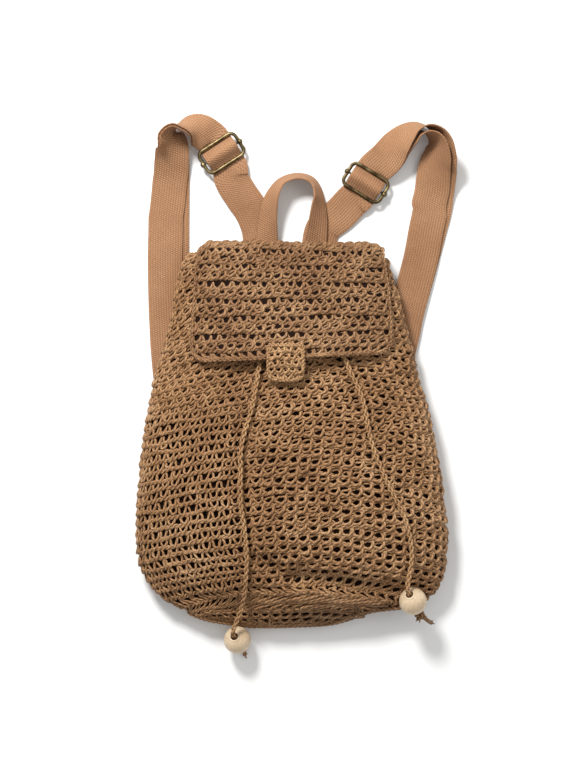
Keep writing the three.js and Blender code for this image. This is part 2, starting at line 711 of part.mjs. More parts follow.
function strapFrames(strap) {
  const { centre, along } = sliderPlace(strap);
  const root = strapRoot(strap, centre, along);
  const doubled = strapDouble(strap, centre, along);
  const down = up.clone().negate();
  const outward = [...root, ...doubled.slice(1)];

  const turnRound = [];
  const turnSteps = 6;
  const end = doubled[doubled.length - 1];
  for (let k = 1; k < turnSteps; k += 1) {
    const turn = rad(-90 + (180 * k) / turnSteps);
    const spoke = end.along.clone().multiplyScalar(Math.cos(turn)).addScaledVector(up, Math.sin(turn));
    const middle = end.point.clone().addScaledVector(up, ringPitch / 2);
    turnRound.push({ point: middle.addScaledVector(spoke, ringPitch / 2), out: spoke, across: end.across });
  }

  const back = doubled.reverse().map((frame) => ({
    point: frame.point.clone().addScaledVector(frame.out, -frame.pitch).addScaledVector(frame.across, frame.slip),
    out: frame.out.clone().negate(),
    across: frame.across,
  }));

  const sideways = along.clone().cross(up);
  const wrap = [];
  for (const share of [0.72, 0.45, 0.2]) {
    const drop = layerPitch * ease(share, 0, 1);
    const point = centre.clone().addScaledVector(along, barReach * share).setZ(underWire - drop);
    wrap.push({ point, out: down, across: sideways });
  }
  const wrapSteps = 8;
  for (let k = 0; k <= wrapSteps; k += 1) {
    const turn = rad(-90 + (225 * k) / wrapSteps);
    const spoke = along.clone().multiplyScalar(-Math.cos(turn)).addScaledVector(up, Math.sin(turn));
    wrap.push({ point: centre.clone().addScaledVector(spoke, barWrap), out: spoke, across: sideways });
  }
  return [...outward, ...turnRound, ...back, ...wrap];
}

// Carrying handle: its legs lie flat, its top stands nearly on edge. "x" is a share of half of
// handleSpan, "y" of handleRise above the rim, "tilt" is how far it is turned up from lying flat.
const HANDLE = [
  { x: -0.98, y: -0.4, z: 0, tilt: 0 },
  { x: -0.98, y: 0.0, z: 0, tilt: 0 },
  { x: -0.97, y: 0.2, z: 0.5, tilt: 8 },
  { x: -0.95, y: 0.45, z: 1.0, tilt: 30 },
  { x: -0.84, y: 0.69, z: 1.6, tilt: 46 },
  { x: -0.66, y: 0.83, z: 1.0, tilt: 59 },
  { x: -0.38, y: 0.94, z: -0.8, tilt: 67 },
  { x: 0.2, y: 1.0, z: -1.6, tilt: 70 },
  { x: 0.7, y: 0.965, z: -1.4, tilt: 70 },
  { x: 0.94, y: 0.88, z: -0.6, tilt: 69 },
  { x: 1.05, y: 0.74, z: 0.6, tilt: 63 },
  { x: 1.04, y: 0.6, z: 1.2, tilt: 46 },
  { x: 1.02, y: 0.45, z: 1.0, tilt: 32 },
  { x: 0.95, y: 0.2, z: 0.4, tilt: 8 },
  { x: 0.94, y: 0.0, z: 0, tilt: 0 },
  { x: 0.94, y: -0.4, z: 0, tilt: 0 },
];

function handleFrames() {
  const base = floorLayer + webThickness + gap;
  const points = HANDLE.map(
    (row) =>
      new THREE.Vector3(
        (row.x * handleSpan) / 2,
        rimY + (row.y > 0 ? row.y * handleRise : Math.sign(row.y) * handleSeam),
        row.z,
      ),
  );
  const curve = new THREE.CatmullRomCurve3(points, false, 'centripetal');
  const steps = 34;
  const frames = [];
  for (let k = 0; k <= steps; k += 1) {
    const t = k / steps;
    const segment = Math.min(t * (HANDLE.length - 1), HANDLE.length - 1 - 1e-6);
    const i = Math.floor(segment);
    const tilt = rad(THREE.MathUtils.lerp(HANDLE[i].tilt, HANDLE[i + 1].tilt, segment - i));
    const along = curve.getTangent(t).setZ(0).normalize();
    const inward = along.clone().cross(up);
    const across = inward.clone().multiplyScalar(Math.cos(tilt)).addScaledVector(up, Math.sin(tilt));
    const point = curve.getPoint(t);
    point.z += base + (handleWidth / 2) * Math.sin(tilt);
    frames.push({ point, across, out: across.clone().cross(along) });
  }
  return frames;
}

// A short tab: webbing folded through the ring and sewn to the back with both ends.
function ringTabFrames(side) {
  const x = side * ringSpread;
  const wireY = -ringBelow - ringReach;
  const frames = [];
  const across = new THREE.Vector3(1, 0, 0);
  const steps = 5;
  const place = (fromWire, layer) => {
    const pitch = layerPitch + (ringPitch - layerPitch) * (1 - ease(fromWire, 2, ringTabLength));
    return new THREE.Vector3(x, wireY - fromWire, floorLayer + layer * pitch);
  };
  for (let k = 0; k <= steps; k += 1) {
    const point = place(ringTabLength * (1 - k / steps), 0);
    frames.push({ point, across, out: up.clone().negate() });
  }
  const turnSteps = 6;
  for (let k = 1; k < turnSteps; k += 1) {
    const turn = rad(-90 + (180 * k) / turnSteps);
    const spoke = new THREE.Vector3(0, Math.cos(turn), Math.sin(turn));
    const point = new THREE.Vector3(x, wireY, floorLayer + ringPitch / 2).addScaledVector(spoke, ringPitch / 2);
    frames.push({ point, across, out: spoke });
  }
  for (let k = 0; k <= steps; k += 1) {
    frames.push({ point: place((ringTabLength * k) / steps, 1), across, out: up.clone() });
  }
  return frames;
}

// The bar's ends are balls threaded on the frame's short sides.
function sliderBar() {
  const halfLength = (strapWidth + sliderSlack + sliderWire) / 2;
  const ballPlace = halfLength + 0.8;
  const boreRadius = sliderWire / 2 + gap + 0.1;
  const rod = new THREE.CylinderGeometry(sliderWire / 2, sliderWire / 2, 2 * halfLength, 8).rotateZ(rad(90));
  let solid = toSolid(rod);
  for (const side of [-1, 1]) {
    const ball = new THREE.SphereGeometry(sliderBall / 2, 8, 5).rotateX(rad(90)).translate(side * ballPlace, 0, 0);
    solid = solid.add(toSolid(ball));
  }
  for (const side of [-1, 1]) {
    const bore = new THREE.CylinderGeometry(boreRadius, boreRadius, 2 * sliderBall, 8);
    solid = solid.subtract(toSolid(bore.translate(side * halfLength, 0, 0)));
  }
  return fromSolid(solid);
}

// The free ends of the drawstring, from the eyelets under the flap over the front to the beads.
// Their points follow the way the cord lies and are chosen by hand, in millimetres. "bead" and "axis"
// give the bead's middle and the way its hole points up, and "tail" where the knot's cut end goes.
const CORD_ENDS = {
  left: {
    route: [
      [-12.8, 116.1, 45.9],
      [-11.6, 113.8, 46.4],
      [-11.2, 110.0, 47.1],
      [-13.0, 105.0, 48.1],
      [-16.8, 99.0, 49.1],
      [-21.5, 90.0, 50.4],
      [-25.5, 79.0, 51.9],
      [-27.6, 69.0, 53.3],
      [-29.3, 62.0, 54.4],
      [-32.0, 45.5, 57.0],
      [-36.6, 21.9, 60.5],
      [-43.2, 0.0, 62.3],
      [-45.9, -15.0, 63.1],
      [-46.0, -32.8, 63.8],
      [-45.8, -60.7, 63.3],
      [-42.6, -84.0, 61.5],
      [-41.0, -100.4, 58.4],
      [-41.0, -117.0, 54.6],
      [-41.8, -131.0, 50.4],
      [-42.9, -143.5, 44.6],
      [-46.2, -158.5, 37.4],
      [-51.3, -171.5, 36.0],
      [-52.6, -175.1, 35.8],
      [-53.4, -178.6, 34.5],
      [-53.5, -181.6, 32.1],
      [-52.9, -183.7, 28.9],
      [-51.4, -186.4, 23.1],
      [-50.0, -188.8, 17.8],
      [-47.2, -193.7, 7.1],
    ],
    bead: [-50.0, -188.8, 17.8],
    axis: [-0.23, 0.408, 0.883],
    tail: [
      [-45.0, -199.5, 2.6],
      [-43.2, -206.0, 2.0],
    ],
  },
  right: {
    route: [
      [20.8, 116.1, 45.5],
      [19.5, 113.8, 46.1],
      [18.7, 109.8, 46.8],
      [20.0, 104.5, 47.5],
      [23.6, 97.5, 48.4],
      [29.5, 90.0, 49.5],
      [36.0, 83.0, 50.4],
      [42.0, 76.0, 51.1],
      [46.8, 69.0, 51.8],
      [51.8, 57.0, 53.2],
      [57.6, 45.0, 54.5],
      [62.2, 33.5, 56.0],
      [65.4, 21.0, 57.7],
      [67.4, 9.0, 59.1],
      [70.2, -5.1, 60.1],
      [74.2, -17.7, 60.5],
      [79.6, -30.5, 60.2],
      [87.0, -47.5, 59.0],
      [95.2, -63.0, 57.0],
      [102.2, -79.4, 54.6],
      [106.2, -97.0, 51.6],
      [107.0, -110.0, 49.8],
      [105.8, -121.0, 50.4],
      [103.6, -132.0, 52.1],
      [103.2, -135.1, 52.2],
      [103.3, -138.2, 51.7],
      [103.9, -140.9, 50.4],
      [104.9, -142.8, 48.7],
      [107.0, -146.9, 43.9],
      [108.9, -150.6, 39.6],
      [112.7, -158.0, 30.9],
    ],
    bead: [108.9, -150.6, 39.6],
    axis: [-0.318, 0.616, 0.722],
    tail: [
      [118.5, -165.5, 23.5],
      [124.5, -171.5, 17.5],
      [128.0, -174.5, 13.5],
    ],
  },
};

function freeCord(end) {
  const points = end.route.map((point) => new THREE.Vector3(...point));
  return cordAlong(new THREE.CatmullRomCurve3(points, false, 'centripetal'), cordDiameter, 8, 32);
}

function bead(end) {
  const radius = beadDiameter / 2;
  const hole = beadHole / 2;
  const limit = Math.acos(hole / radius);
  const profile = [];
  const steps = 8;
  for (let k = 0; k <= steps; k += 1) {
    const angle = THREE.MathUtils.lerp(-limit, limit, k / steps);
    profile.push(new THREE.Vector2(radius * Math.cos(angle), radius * Math.sin(angle)));
  }
  profile.push(profile[0].clone());
  const turn = new THREE.Quaternion().setFromUnitVectors(
    new THREE.Vector3(0, 1, 0),
    new THREE.Vector3(...end.axis).normalize(),
  );
  return new THREE.LatheGeometry(profile, 14).applyQuaternion(turn).translate(...end.bead);
}

// A stopper knot just outside the bead's hole, with the cord's cut tail.
function knot(end) {
  const axis = new THREE.Vector3(...end.axis).normalize();
  const centre = new THREE.Vector3(...end.bead).addScaledVector(axis, -(beadDiameter + knotDiameter) / 2);
  const ball = new THREE.IcosahedronGeometry(knotDiameter / 2, 1).translate(centre.x, centre.y, centre.z);
  const points = [centre, ...end.tail.map((point) => new THREE.Vector3(...point))];
  const strand = cordAlong(new THREE.CatmullRomCurve3(points, false, 'centripetal'), tailDiameter, 6, 6);
  return fromSolid(toSolid(ball).add(toSolid(strand)));
}

add('bag_body', bagBody(), straw);
const flapRows = flapMiddle();
add('flap', panel(flapRows, flapWall), straw);
add('flap_tab', panel(tabMiddle(flapRows), tabWall), straw);
add('drawstring_loop', cordAlong(neckCurve, cordDiameter, 8, neckSteps), straw);
add('handle', ribbon(handleFrames(), handleWidth, webThickness), webbing);
for (const [name, strap] of Object.entries(STRAPS)) {
  add(`strap_${name}`, ribbon(strapFrames(strap), strapWidth, webThickness), webbing);
  const { centre } = sliderPlace(strap);
  const turn = rad(strap.slider.heading - 90);
  const frame = add(
    `slider_frame_${name}`,
    wireLoop(strapWidth + sliderSlack, sliderOpening, sliderWire, sliderCorner, 6),
    antiqueBrass,
  );
  const bar = add(`slider_bar_${name}`, sliderBar(), antiqueBrass);
  for (const piece of [frame, bar]) {
    piece.position.copy(centre);
    piece.rotation.z = turn;
  }
  const ring = add(`strap_ring_${name}`, wireLoop(strapWidth + ringSlack, ringOpening, ringWire, ringCorner, 6), antiqueBrass);
  ring.position.set(strap.side * ringSpread, -ringBelow, ringHeight);
  add(`ring_tab_${name}`, ribbon(ringTabFrames(strap.side), strapWidth, webThickness), webbing);
}

for (const [name, end] of Object.entries(CORD_ENDS)) {
  add(`drawstring_${name}`, freeCord(end), straw);
  add(`bead_${name}`, bead(end), paleWood);
  add(`knot_${name}`, knot(end), straw);
}

export default group;
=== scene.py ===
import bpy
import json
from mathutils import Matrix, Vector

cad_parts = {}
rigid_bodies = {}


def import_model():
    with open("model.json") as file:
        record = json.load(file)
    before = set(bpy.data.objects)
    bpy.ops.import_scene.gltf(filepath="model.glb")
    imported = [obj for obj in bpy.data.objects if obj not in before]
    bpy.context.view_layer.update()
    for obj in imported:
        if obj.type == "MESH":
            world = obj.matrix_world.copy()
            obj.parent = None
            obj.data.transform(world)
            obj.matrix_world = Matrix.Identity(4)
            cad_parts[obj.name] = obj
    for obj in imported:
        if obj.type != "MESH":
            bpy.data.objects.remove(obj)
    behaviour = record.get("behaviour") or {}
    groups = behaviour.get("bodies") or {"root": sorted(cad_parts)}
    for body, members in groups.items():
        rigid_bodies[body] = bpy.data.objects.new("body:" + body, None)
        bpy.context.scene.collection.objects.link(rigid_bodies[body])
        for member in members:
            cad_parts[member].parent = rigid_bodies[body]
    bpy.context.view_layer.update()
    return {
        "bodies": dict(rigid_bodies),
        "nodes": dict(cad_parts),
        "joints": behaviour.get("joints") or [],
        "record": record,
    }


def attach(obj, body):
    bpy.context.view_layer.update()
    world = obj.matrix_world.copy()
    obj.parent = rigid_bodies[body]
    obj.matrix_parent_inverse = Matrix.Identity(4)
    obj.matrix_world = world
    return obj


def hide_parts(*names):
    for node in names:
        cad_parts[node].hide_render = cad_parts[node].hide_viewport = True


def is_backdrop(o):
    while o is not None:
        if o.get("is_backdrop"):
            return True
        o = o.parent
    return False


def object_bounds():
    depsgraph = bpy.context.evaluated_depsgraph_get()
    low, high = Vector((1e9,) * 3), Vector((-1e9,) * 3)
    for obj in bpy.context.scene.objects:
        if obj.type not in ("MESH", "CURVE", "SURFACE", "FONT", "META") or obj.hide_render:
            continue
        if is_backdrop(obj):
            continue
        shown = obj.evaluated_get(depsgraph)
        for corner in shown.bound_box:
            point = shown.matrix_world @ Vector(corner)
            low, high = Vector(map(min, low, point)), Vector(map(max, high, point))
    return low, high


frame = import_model()

import functools
import json
from math import acos, ceil, cos, floor, pi, radians, sin, sqrt

import bpy
import numpy as np
from mathutils import Vector

MM = 0.001
TAU = 2 * pi
UP = np.array([0.0, 0.0, 1.0])
rng = np.random.default_rng(57)

# Camera: straight above the bag, as in the photograph
CAMERA_PLACE = (-0.006475, 0.049, 1.6)
VIEW_HEIGHT = 0.703
SENSOR = 36.0

# The free cords: the points of the CAD routes, in metres
CORD_LEFT = [
    (-0.0128, 0.1161, 0.0459), (-0.0116, 0.1138, 0.0464), (-0.0112, 0.11, 0.0471),
    (-0.013, 0.105, 0.0481), (-0.0168, 0.099, 0.0491), (-0.0215, 0.09, 0.0504), (-0.0255, 0.079, 0.0519),
    (-0.0276, 0.069, 0.0533), (-0.0293, 0.062, 0.0544), (-0.032, 0.0455, 0.057),
    (-0.0366, 0.0219, 0.0605), (-0.0432, 0.0, 0.0623), (-0.0459, -0.015, 0.0631),
    (-0.046, -0.0328, 0.0638), (-0.0458, -0.0607, 0.0633), (-0.0426, -0.084, 0.0615),
    (-0.041, -0.1004, 0.0584), (-0.041, -0.117, 0.0546), (-0.0418, -0.131, 0.0504),
    (-0.0429, -0.1435, 0.0446), (-0.0462, -0.1585, 0.0374), (-0.0513, -0.1715, 0.036),
    (-0.0526, -0.1751, 0.0358), (-0.0534, -0.1786, 0.0345), (-0.0535, -0.1816, 0.0321),
    (-0.0529, -0.1837, 0.0289), (-0.0514, -0.1864, 0.0231), (-0.05, -0.1888, 0.0178),
    (-0.0472, -0.1937, 0.0071),
]
CORD_RIGHT = [
    (0.0208, 0.1161, 0.0455), (0.0195, 0.1138, 0.0461), (0.0187, 0.1098, 0.0468), (0.02, 0.1045, 0.0475),
    (0.0236, 0.0975, 0.0484), (0.0295, 0.09, 0.0495), (0.036, 0.083, 0.0504), (0.042, 0.076, 0.0511),
    (0.0468, 0.069, 0.0518), (0.0518, 0.057, 0.0532), (0.0576, 0.045, 0.0545), (0.0622, 0.0335, 0.056),
    (0.0654, 0.021, 0.0577), (0.0674, 0.009, 0.0591), (0.0702, -0.0051, 0.0601),
    (0.0742, -0.0177, 0.0605), (0.0796, -0.0305, 0.0602), (0.087, -0.0475, 0.059),
    (0.0952, -0.063, 0.057), (0.1022, -0.0794, 0.0546), (0.1062, -0.097, 0.0516), (0.107, -0.11, 0.0498),
    (0.1058, -0.121, 0.0504), (0.1036, -0.132, 0.0521), (0.1032, -0.1351, 0.0522),
    (0.1033, -0.1382, 0.0517), (0.1039, -0.1409, 0.0504), (0.1049, -0.1428, 0.0487),
    (0.107, -0.1469, 0.0439), (0.1089, -0.1506, 0.0396), (0.1127, -0.158, 0.0309),
]
CORD_DIAMETER = 4.8
# The free ends, in millimetres: bead, how far the knot lies from the bead's axis, and the tail
CORD_ENDS = {
    "left": {
        "route": CORD_LEFT,
        "bead": (-50.0, -188.8, 17.8),
        "axis": (-0.23, 0.408, 0.883),
        "knot_off": (0.0, 0.0, 0.0),
        "tail": [(-45.0, -199.5, 2.6), (-43.2, -206.0, 2.0)],
    },
    "right": {
        "route": CORD_RIGHT,
        "bead": (108.9, -150.6, 39.6),
        "axis": (-0.318, 0.616, 0.722),
        "knot_off": (2.2, -5.0, -2.5),
        "tail": [(120.5, -168.0, 21.5), (125.0, -171.8, 17.5), (128.5, -174.0, 13.5)],
    },
}

# Sizes of the solids, in millimetres
BODY_WIDTH, BODY_LENGTH, BODY_DEPTH, BELOW = 284.0, 340.0, 62.0, 177.5
RIM_Y = BODY_LENGTH - BELOW
FLAP_LENGTH, FLAP_WIDTH, FLAP_WALL = 93.0, 176.0, 3.0
TAB_WIDTH, TAB_LENGTH, TAB_ON_FLAP, TAB_CENTRE, TAB_CORNER = 31.0, 31.0, 10.0, -6.0, 7.0
STRAP, WEB, HANDLE_WIDTH = 32.0, 1.8, 20.0
HANDLE_SPAN, HANDLE_RISE = 47.0, 74.0
SLIDER_WIRE, SLIDER_OPENING, SLIDER_HEIGHT = 2.6, 19.0, 8.0
RING_WIRE, RING_OPENING, RING_SPREAD, RING_BELOW, RING_TAB = 2.0, 9.0, 86.0, 118.0, 24.0
GAP, FLOOR_GAP, LAYER_GAP, SOFT_GAP = 0.3, 0.1, 0.4, 0.6
# The bag's rounds lean to one side at the rim, and its cross sections are rounded rectangles
LEAN, FRONT_POWER, BACK_POWER, BACK_BULGE = -0.03, 2.5, 3.2, 1.25
FLAP_AIR, FLAP_FOLD, FLAP_CORNER, FLAP_SKEW = 2.2, 9.0, 14.0, 0.045
TAB_STAND, TAB_DROOP, TAB_CAMBER = 0.6, 5.0, 0.8
BEAD_RADIUS, BEAD_FACE, BEAD_LENGTH, KNOT_BELOW = 12.5, 4.8, 0.985, 16.0
# The sliders are drawn a little larger than the solids, as in the photograph
LOOP_LENGTH, LOOP_OPENING, LOOP_WIRE = STRAP + 3.6, SLIDER_OPENING + 0.6, SLIDER_WIRE + 0.7
LOOP_CORNER, RING_CORNER, HANDLE_SEWN = 5.6, 1.3, 30.0

# at, left, right, front, belt: the sections of the bag from its bottom edge to its rim
BODY_SECTIONS = np.array([
    (0.0, -0.272, -0.11, 0.22, 0.5), (0.007, -0.39, 0.24, 0.29, 0.48),
    (0.018, -0.545, 0.352, 0.36, 0.46), (0.03, -0.635, 0.43, 0.42, 0.44),
    (0.044, -0.705, 0.53, 0.48, 0.42), (0.057, -0.757, 0.765, 0.53, 0.4),
    (0.074, -0.828, 0.866, 0.59, 0.38), (0.1, -0.898, 0.93, 0.67, 0.35),
    (0.14, -0.958, 0.974, 0.77, 0.32), (0.186, -0.994, 0.995, 0.86, 0.3), (0.25, -1.005, 1.0, 0.94, 0.3),
    (0.33, -1.003, 0.978, 0.985, 0.3), (0.41, -0.983, 0.958, 1.0, 0.3),
    (0.49, -0.965, 0.926, 0.985, 0.3), (0.57, -0.936, 0.885, 0.94, 0.31),
    (0.65, -0.898, 0.828, 0.87, 0.32), (0.73, -0.85, 0.787, 0.8, 0.34), (0.81, -0.79, 0.736, 0.73, 0.36),
    (0.895, -0.754, 0.69, 0.66, 0.38), (0.96, -0.716, 0.642, 0.6, 0.4), (1.0, -0.668, 0.622, 0.57, 0.42),
])
# x0, y0, x1, y1, depth, spread: folds of the front
FRONT_FOLDS = [
    (-0.3, 0.205, 0.0, 0.15, 0.1, 0.11), (0.0, 0.15, 0.8, 0.1, 0.15, 0.14),
    (-0.33, 0.53, -0.3, 0.16, 0.055, 0.13), (0.3, 0.33, 0.62, 0.2, 0.035, 0.16),
    (-0.7, 0.1, -0.35, 0.06, 0.05, 0.12),
]
# at, left, right, stand: the flap from the rim to its lower edge
FLAP_SECTIONS = np.array([
    (0.0, -0.93, 0.975, 0.035), (0.1, -0.94, 0.99, 0.09), (0.2, -0.95, 1.005, 0.125),
    (0.35, -0.96, 1.025, 0.13), (0.55, -0.972, 1.045, 0.13), (0.75, -0.985, 1.055, 0.135),
    (1.0, -0.995, 1.055, 0.155),
])
# Shares of the bag's half width across and of its length from the rim, then: height in the root,
# height, tilt, slip and gap in the arch, slip in the leg, and the heading of the slider
STRAP_LEFT = {
    "side": -1,
    "root": [
        (-0.206, -0.106, 0), (-0.206, -0.03, 0), (-0.206, 0.04, 0), (-0.218, 0.079, 0),
        (-0.262, 0.125, 0.015), (-0.334, 0.17, 0.06), (-0.397, 0.215, 0.12),
    ],
    "slider": (-0.457, 0.28, 123),
    "arch": [
        (-0.575, 0.336, 0.28, 6, 0, 1.1), (-0.642, 0.35, 0.43, 42, 0, 1.4),
        (-0.704, 0.352, 0.51, 70, 0, 1.15), (-0.769, 0.348, 0.54, 92, 0, 1.1),
        (-0.795, 0.328, 0.5, 122, 0, 1.1), (-0.782, 0.303, 0.4, 150, 0, 1.1),
        (-0.778, 0.268, 0.24, 168, -0.02, 1.2), (-0.78, 0.209, 0.05, 177, -0.06, 1),
    ],
    "leg": [
        (-0.782, 0.109, -0.17), (-0.784, 0.019, -0.18), (-0.804, -0.198, -0.04), (-0.787, -0.334, 0),
        (-0.7, -0.6, 0),
    ],
}
STRAP_RIGHT = {
    "side": 1,
    "root": [
        (0.176, -0.106, 0), (0.176, -0.03, 0), (0.178, 0.035, 0), (0.205, 0.079, 0), (0.31, 0.117, 0.03),
        (0.405, 0.158, 0.1),
    ],
    "slider": (0.478, 0.2, 58),
    "arch": [
        (0.61, 0.266, 0.29, 8, 0, 1.1), (0.675, 0.304, 0.4, 32, 0, 1.5), (0.738, 0.331, 0.47, 50, 0, 2),
        (0.804, 0.348, 0.52, 68, 0, 2.6), (0.877, 0.349, 0.54, 86, 0, 2.8),
        (0.935, 0.335, 0.54, 100, 0, 2.8), (0.972, 0.308, 0.52, 116, -0.04, 2.6),
        (0.975, 0.272, 0.43, 138, -0.1, 2), (0.963, 0.24, 0.27, 157, -0.15, 1.4),
        (0.943, 0.181, 0.07, 175, -0.14, 1),
    ],
    "leg": [
        (0.925, 0.122, -0.13), (0.897, 0.079, -0.1), (0.842, -0.008, -0.03), (0.735, -0.171, 0),
        (0.66, -0.32, 0), (0.61, -0.55, 0),
    ],
}
STRAPS = {"left": STRAP_LEFT, "right": STRAP_RIGHT}
# Shares of the handle's half span and rise, then height and tilt
HANDLE = [
    (-0.98, -0.4, 0, 0), (-0.98, 0.0, 0, 0), (-0.97, 0.2, 0.5, 8), (-0.95, 0.45, 1.0, 30),
    (-0.84, 0.69, 1.6, 46), (-0.66, 0.83, 1.0, 59), (-0.38, 0.94, -0.8, 67), (0.2, 1.0, -1.6, 70),
    (0.7, 0.965, -1.4, 70), (0.94, 0.88, -0.6, 69), (1.05, 0.74, 0.6, 63), (1.04, 0.6, 1.2, 46),
    (1.02, 0.45, 1.0, 32), (0.95, 0.2, 0.4, 8), (0.94, 0.0, 0, 0), (0.94, -0.4, 0, 0),
]


def ease(x, low, high):
    t = np.clip((np.asarray(x, float) - low) / (high - low), 0, 1)
    return t * t * (3 - 2 * t)


def unit(v):
    v = np.asarray(v, float)
    return v / np.maximum(np.linalg.norm(v, axis=-1, keepdims=True), 1e-12)


def between(rows, key, at):
    """A table's column between its rows: a cubic that never overshoots them."""
    x, y = rows[:, 0], rows[:, key]
    d = np.diff(y) / np.diff(x)
    m = np.zeros_like(y)
    m[0], m[-1] = d[0], d[-1]
    product, total = d[:-1] * d[1:], d[:-1] + d[1:]
    m[1:-1] = np.where(product > 0, 2 * product / np.where(product > 0, total, 1), 0)
    at = np.asarray(at, float)
    i = np.clip(np.searchsorted(x, at, side="left") - 1, 0, len(x) - 2)
    run = x[i + 1] - x[i]
    t = np.clip((at - x[i]) / run, 0, 1)
    return (
        y[i] * (1 + 2 * t) * (1 - t) ** 2
        + m[i] * run * t * (1 - t) ** 2
        + y[i + 1] * t * t * (3 - 2 * t)
        + m[i + 1] * run * t * t * (t - 1)
    )


class Spline:
    """A centripetal Catmull-Rom curve through points."""

    def __init__(self, points):
        self.p = np.array(points, float)

    def at(self, t):
        p = self.p
        n = len(p)
        q = np.clip(np.atleast_1d(np.asarray(t, float)), 0, 1) * (n - 1)
        i = np.minimum(np.floor(q).astype(int), n - 2)
        w = (q - i)[:, None]
        e = np.vstack([2 * p[0] - p[1], p, 2 * p[-1] - p[-2]])
        a, b, c, d = e[i], e[i + 1], e[i + 2], e[i + 3]
        d0, d1, d2 = (np.linalg.norm(v, axis=1)[:, None] ** 0.5 for v in (b - a, c - b, d - c))
        d1 = np.where(d1 < 1e-4, 1, d1)
        d0 = np.where(d0 < 1e-4, d1, d0)
        d2 = np.where(d2 < 1e-4, d1, d2)
        t1 = ((b - a) / d0 - (c - a) / (d0 + d1) + (c - b) / d1) * d1
        t2 = ((c - b) / d1 - (d - b) / (d1 + d2) + (d - c) / d2) * d1
        return (2 * b - 2 * c + t1 + t2) * w**3 + (-3 * b + 3 * c - 2 * t1 - t2) * w**2 + t1 * w + b

    def spaced(self, n):
        """Points at equal distances along the curve."""
        fine = self.at(np.linspace(0, 1, 60 * len(self.p)))
        return even(fine, n)

    def tangent(self, t):
        return unit(self.at(np.minimum(t + 1e-4, 1)) - self.at(np.maximum(t - 1e-4, 0)))


def along(line):
    return np.concatenate([[0], np.cumsum(np.linalg.norm(np.diff(line, axis=0), axis=1))])


def read_at(to, s, values):
    return np.stack([np.interp(to, s, column) for column in values.T], 1)


def even(line, n):
    s = along(line)
    return read_at(np.linspace(0, s[-1], n), s, line)


# The surface of the bag


def section(at):
    left, right = (between(BODY_SECTIONS, k, at) * BODY_WIDTH / 2 for k in (1, 2))
    front = between(BODY_SECTIONS, 3, at) * BODY_DEPTH
    return {
        "middle": (left + right) / 2,
        "half": (right - left) / 2,
        "front": front,
        "belt": front * between(BODY_SECTIONS, 4, at),
        "y": at * BODY_LENGTH - BELOW,
        "lean": LEAN * ease(at, 0.75, 1),
    }


def fold_depth(x, y):
    power = 3.0
    depth = np.zeros(np.broadcast(x, y).shape)
    for x0, y0, x1, y1, deep, spread in FRONT_FOLDS:
        a = np.array([x0 * BODY_WIDTH / 2, y0 * BODY_LENGTH - BELOW])
        d = np.array([x1 * BODY_WIDTH / 2, y1 * BODY_LENGTH - BELOW]) - a
        t = np.clip(((x - a[0]) * d[0] + (y - a[1]) * d[1]) / (d @ d), 0, 1)
        away = np.hypot(x - a[0] - t * d[0], y - a[1] - t * d[1]) / (spread * BODY_DEPTH)
        depth = depth + (deep * BODY_DEPTH * np.exp(-away * away)) ** power
    return depth ** (1 / power)


def front_height(x, y):
    at = (y + BELOW) / BODY_LENGTH
    at = np.clip(at - section(at)["lean"] * x / BODY_LENGTH, 0, 1)
    s = section(at)
    across = np.minimum(np.abs(x - s["middle"]) / s["half"], 1)
    crown = (1 - across**FRONT_POWER) ** (1 / FRONT_POWER)
    return s["belt"] + (s["front"] - s["belt"]) * crown - fold_depth(x, y) * crown


SEAM_STACK = 2 * WEB + GAP + 2 * SOFT_GAP
STRAP_STACK = 2 * WEB + LAYER_GAP + 2 * SOFT_GAP
RING_STACK = 2 * WEB + RING_WIRE + 2 * GAP + 2 * SOFT_GAP


def back_lift(x, y):
    """How high the back lies over the straps, the ring tabs and the sewn seam."""
    side = ease(np.abs(x), RING_SPREAD - STRAP * 1.15, RING_SPREAD - STRAP * 0.8)
    tab_end = RING_BELOW + RING_OPENING / 2 + RING_WIRE + RING_TAB
    above = ease(y, -tab_end - 20, -tab_end - 4)
    near = 1 - ease(y, -RING_BELOW + 20, -RING_BELOW + 50)
    lift = side * above * (STRAP_STACK + (RING_STACK - STRAP_STACK) * near)
    return np.maximum(lift, ease(y, RIM_Y - 70, RIM_Y - 46) * SEAM_STACK)


def body_ring(at, inset, angle):
    s = section(at)
    cos, sin = np.cos(angle), np.sin(angle)
    power = np.where(sin >= 0, 2 / FRONT_POWER, 2 / BACK_POWER)
    across = np.sign(cos) * np.abs(cos) ** power
    rise = np.abs(sin) ** power
    x = s["middle"] + (s["half"] - inset) * across
    y = s["y"] + s["lean"] * x
    front = s["belt"] + (s["front"] - inset - s["belt"]) * rise - fold_depth(x, y) * rise
    back = np.maximum(s["belt"] - s["belt"] * BACK_BULGE * rise, back_lift(x, y)) + inset
    back = np.minimum(back, s["belt"])
    z = np.where(sin >= 0, front, back)
    return np.stack([x + 0 * z, y + 0 * z, z], -1)


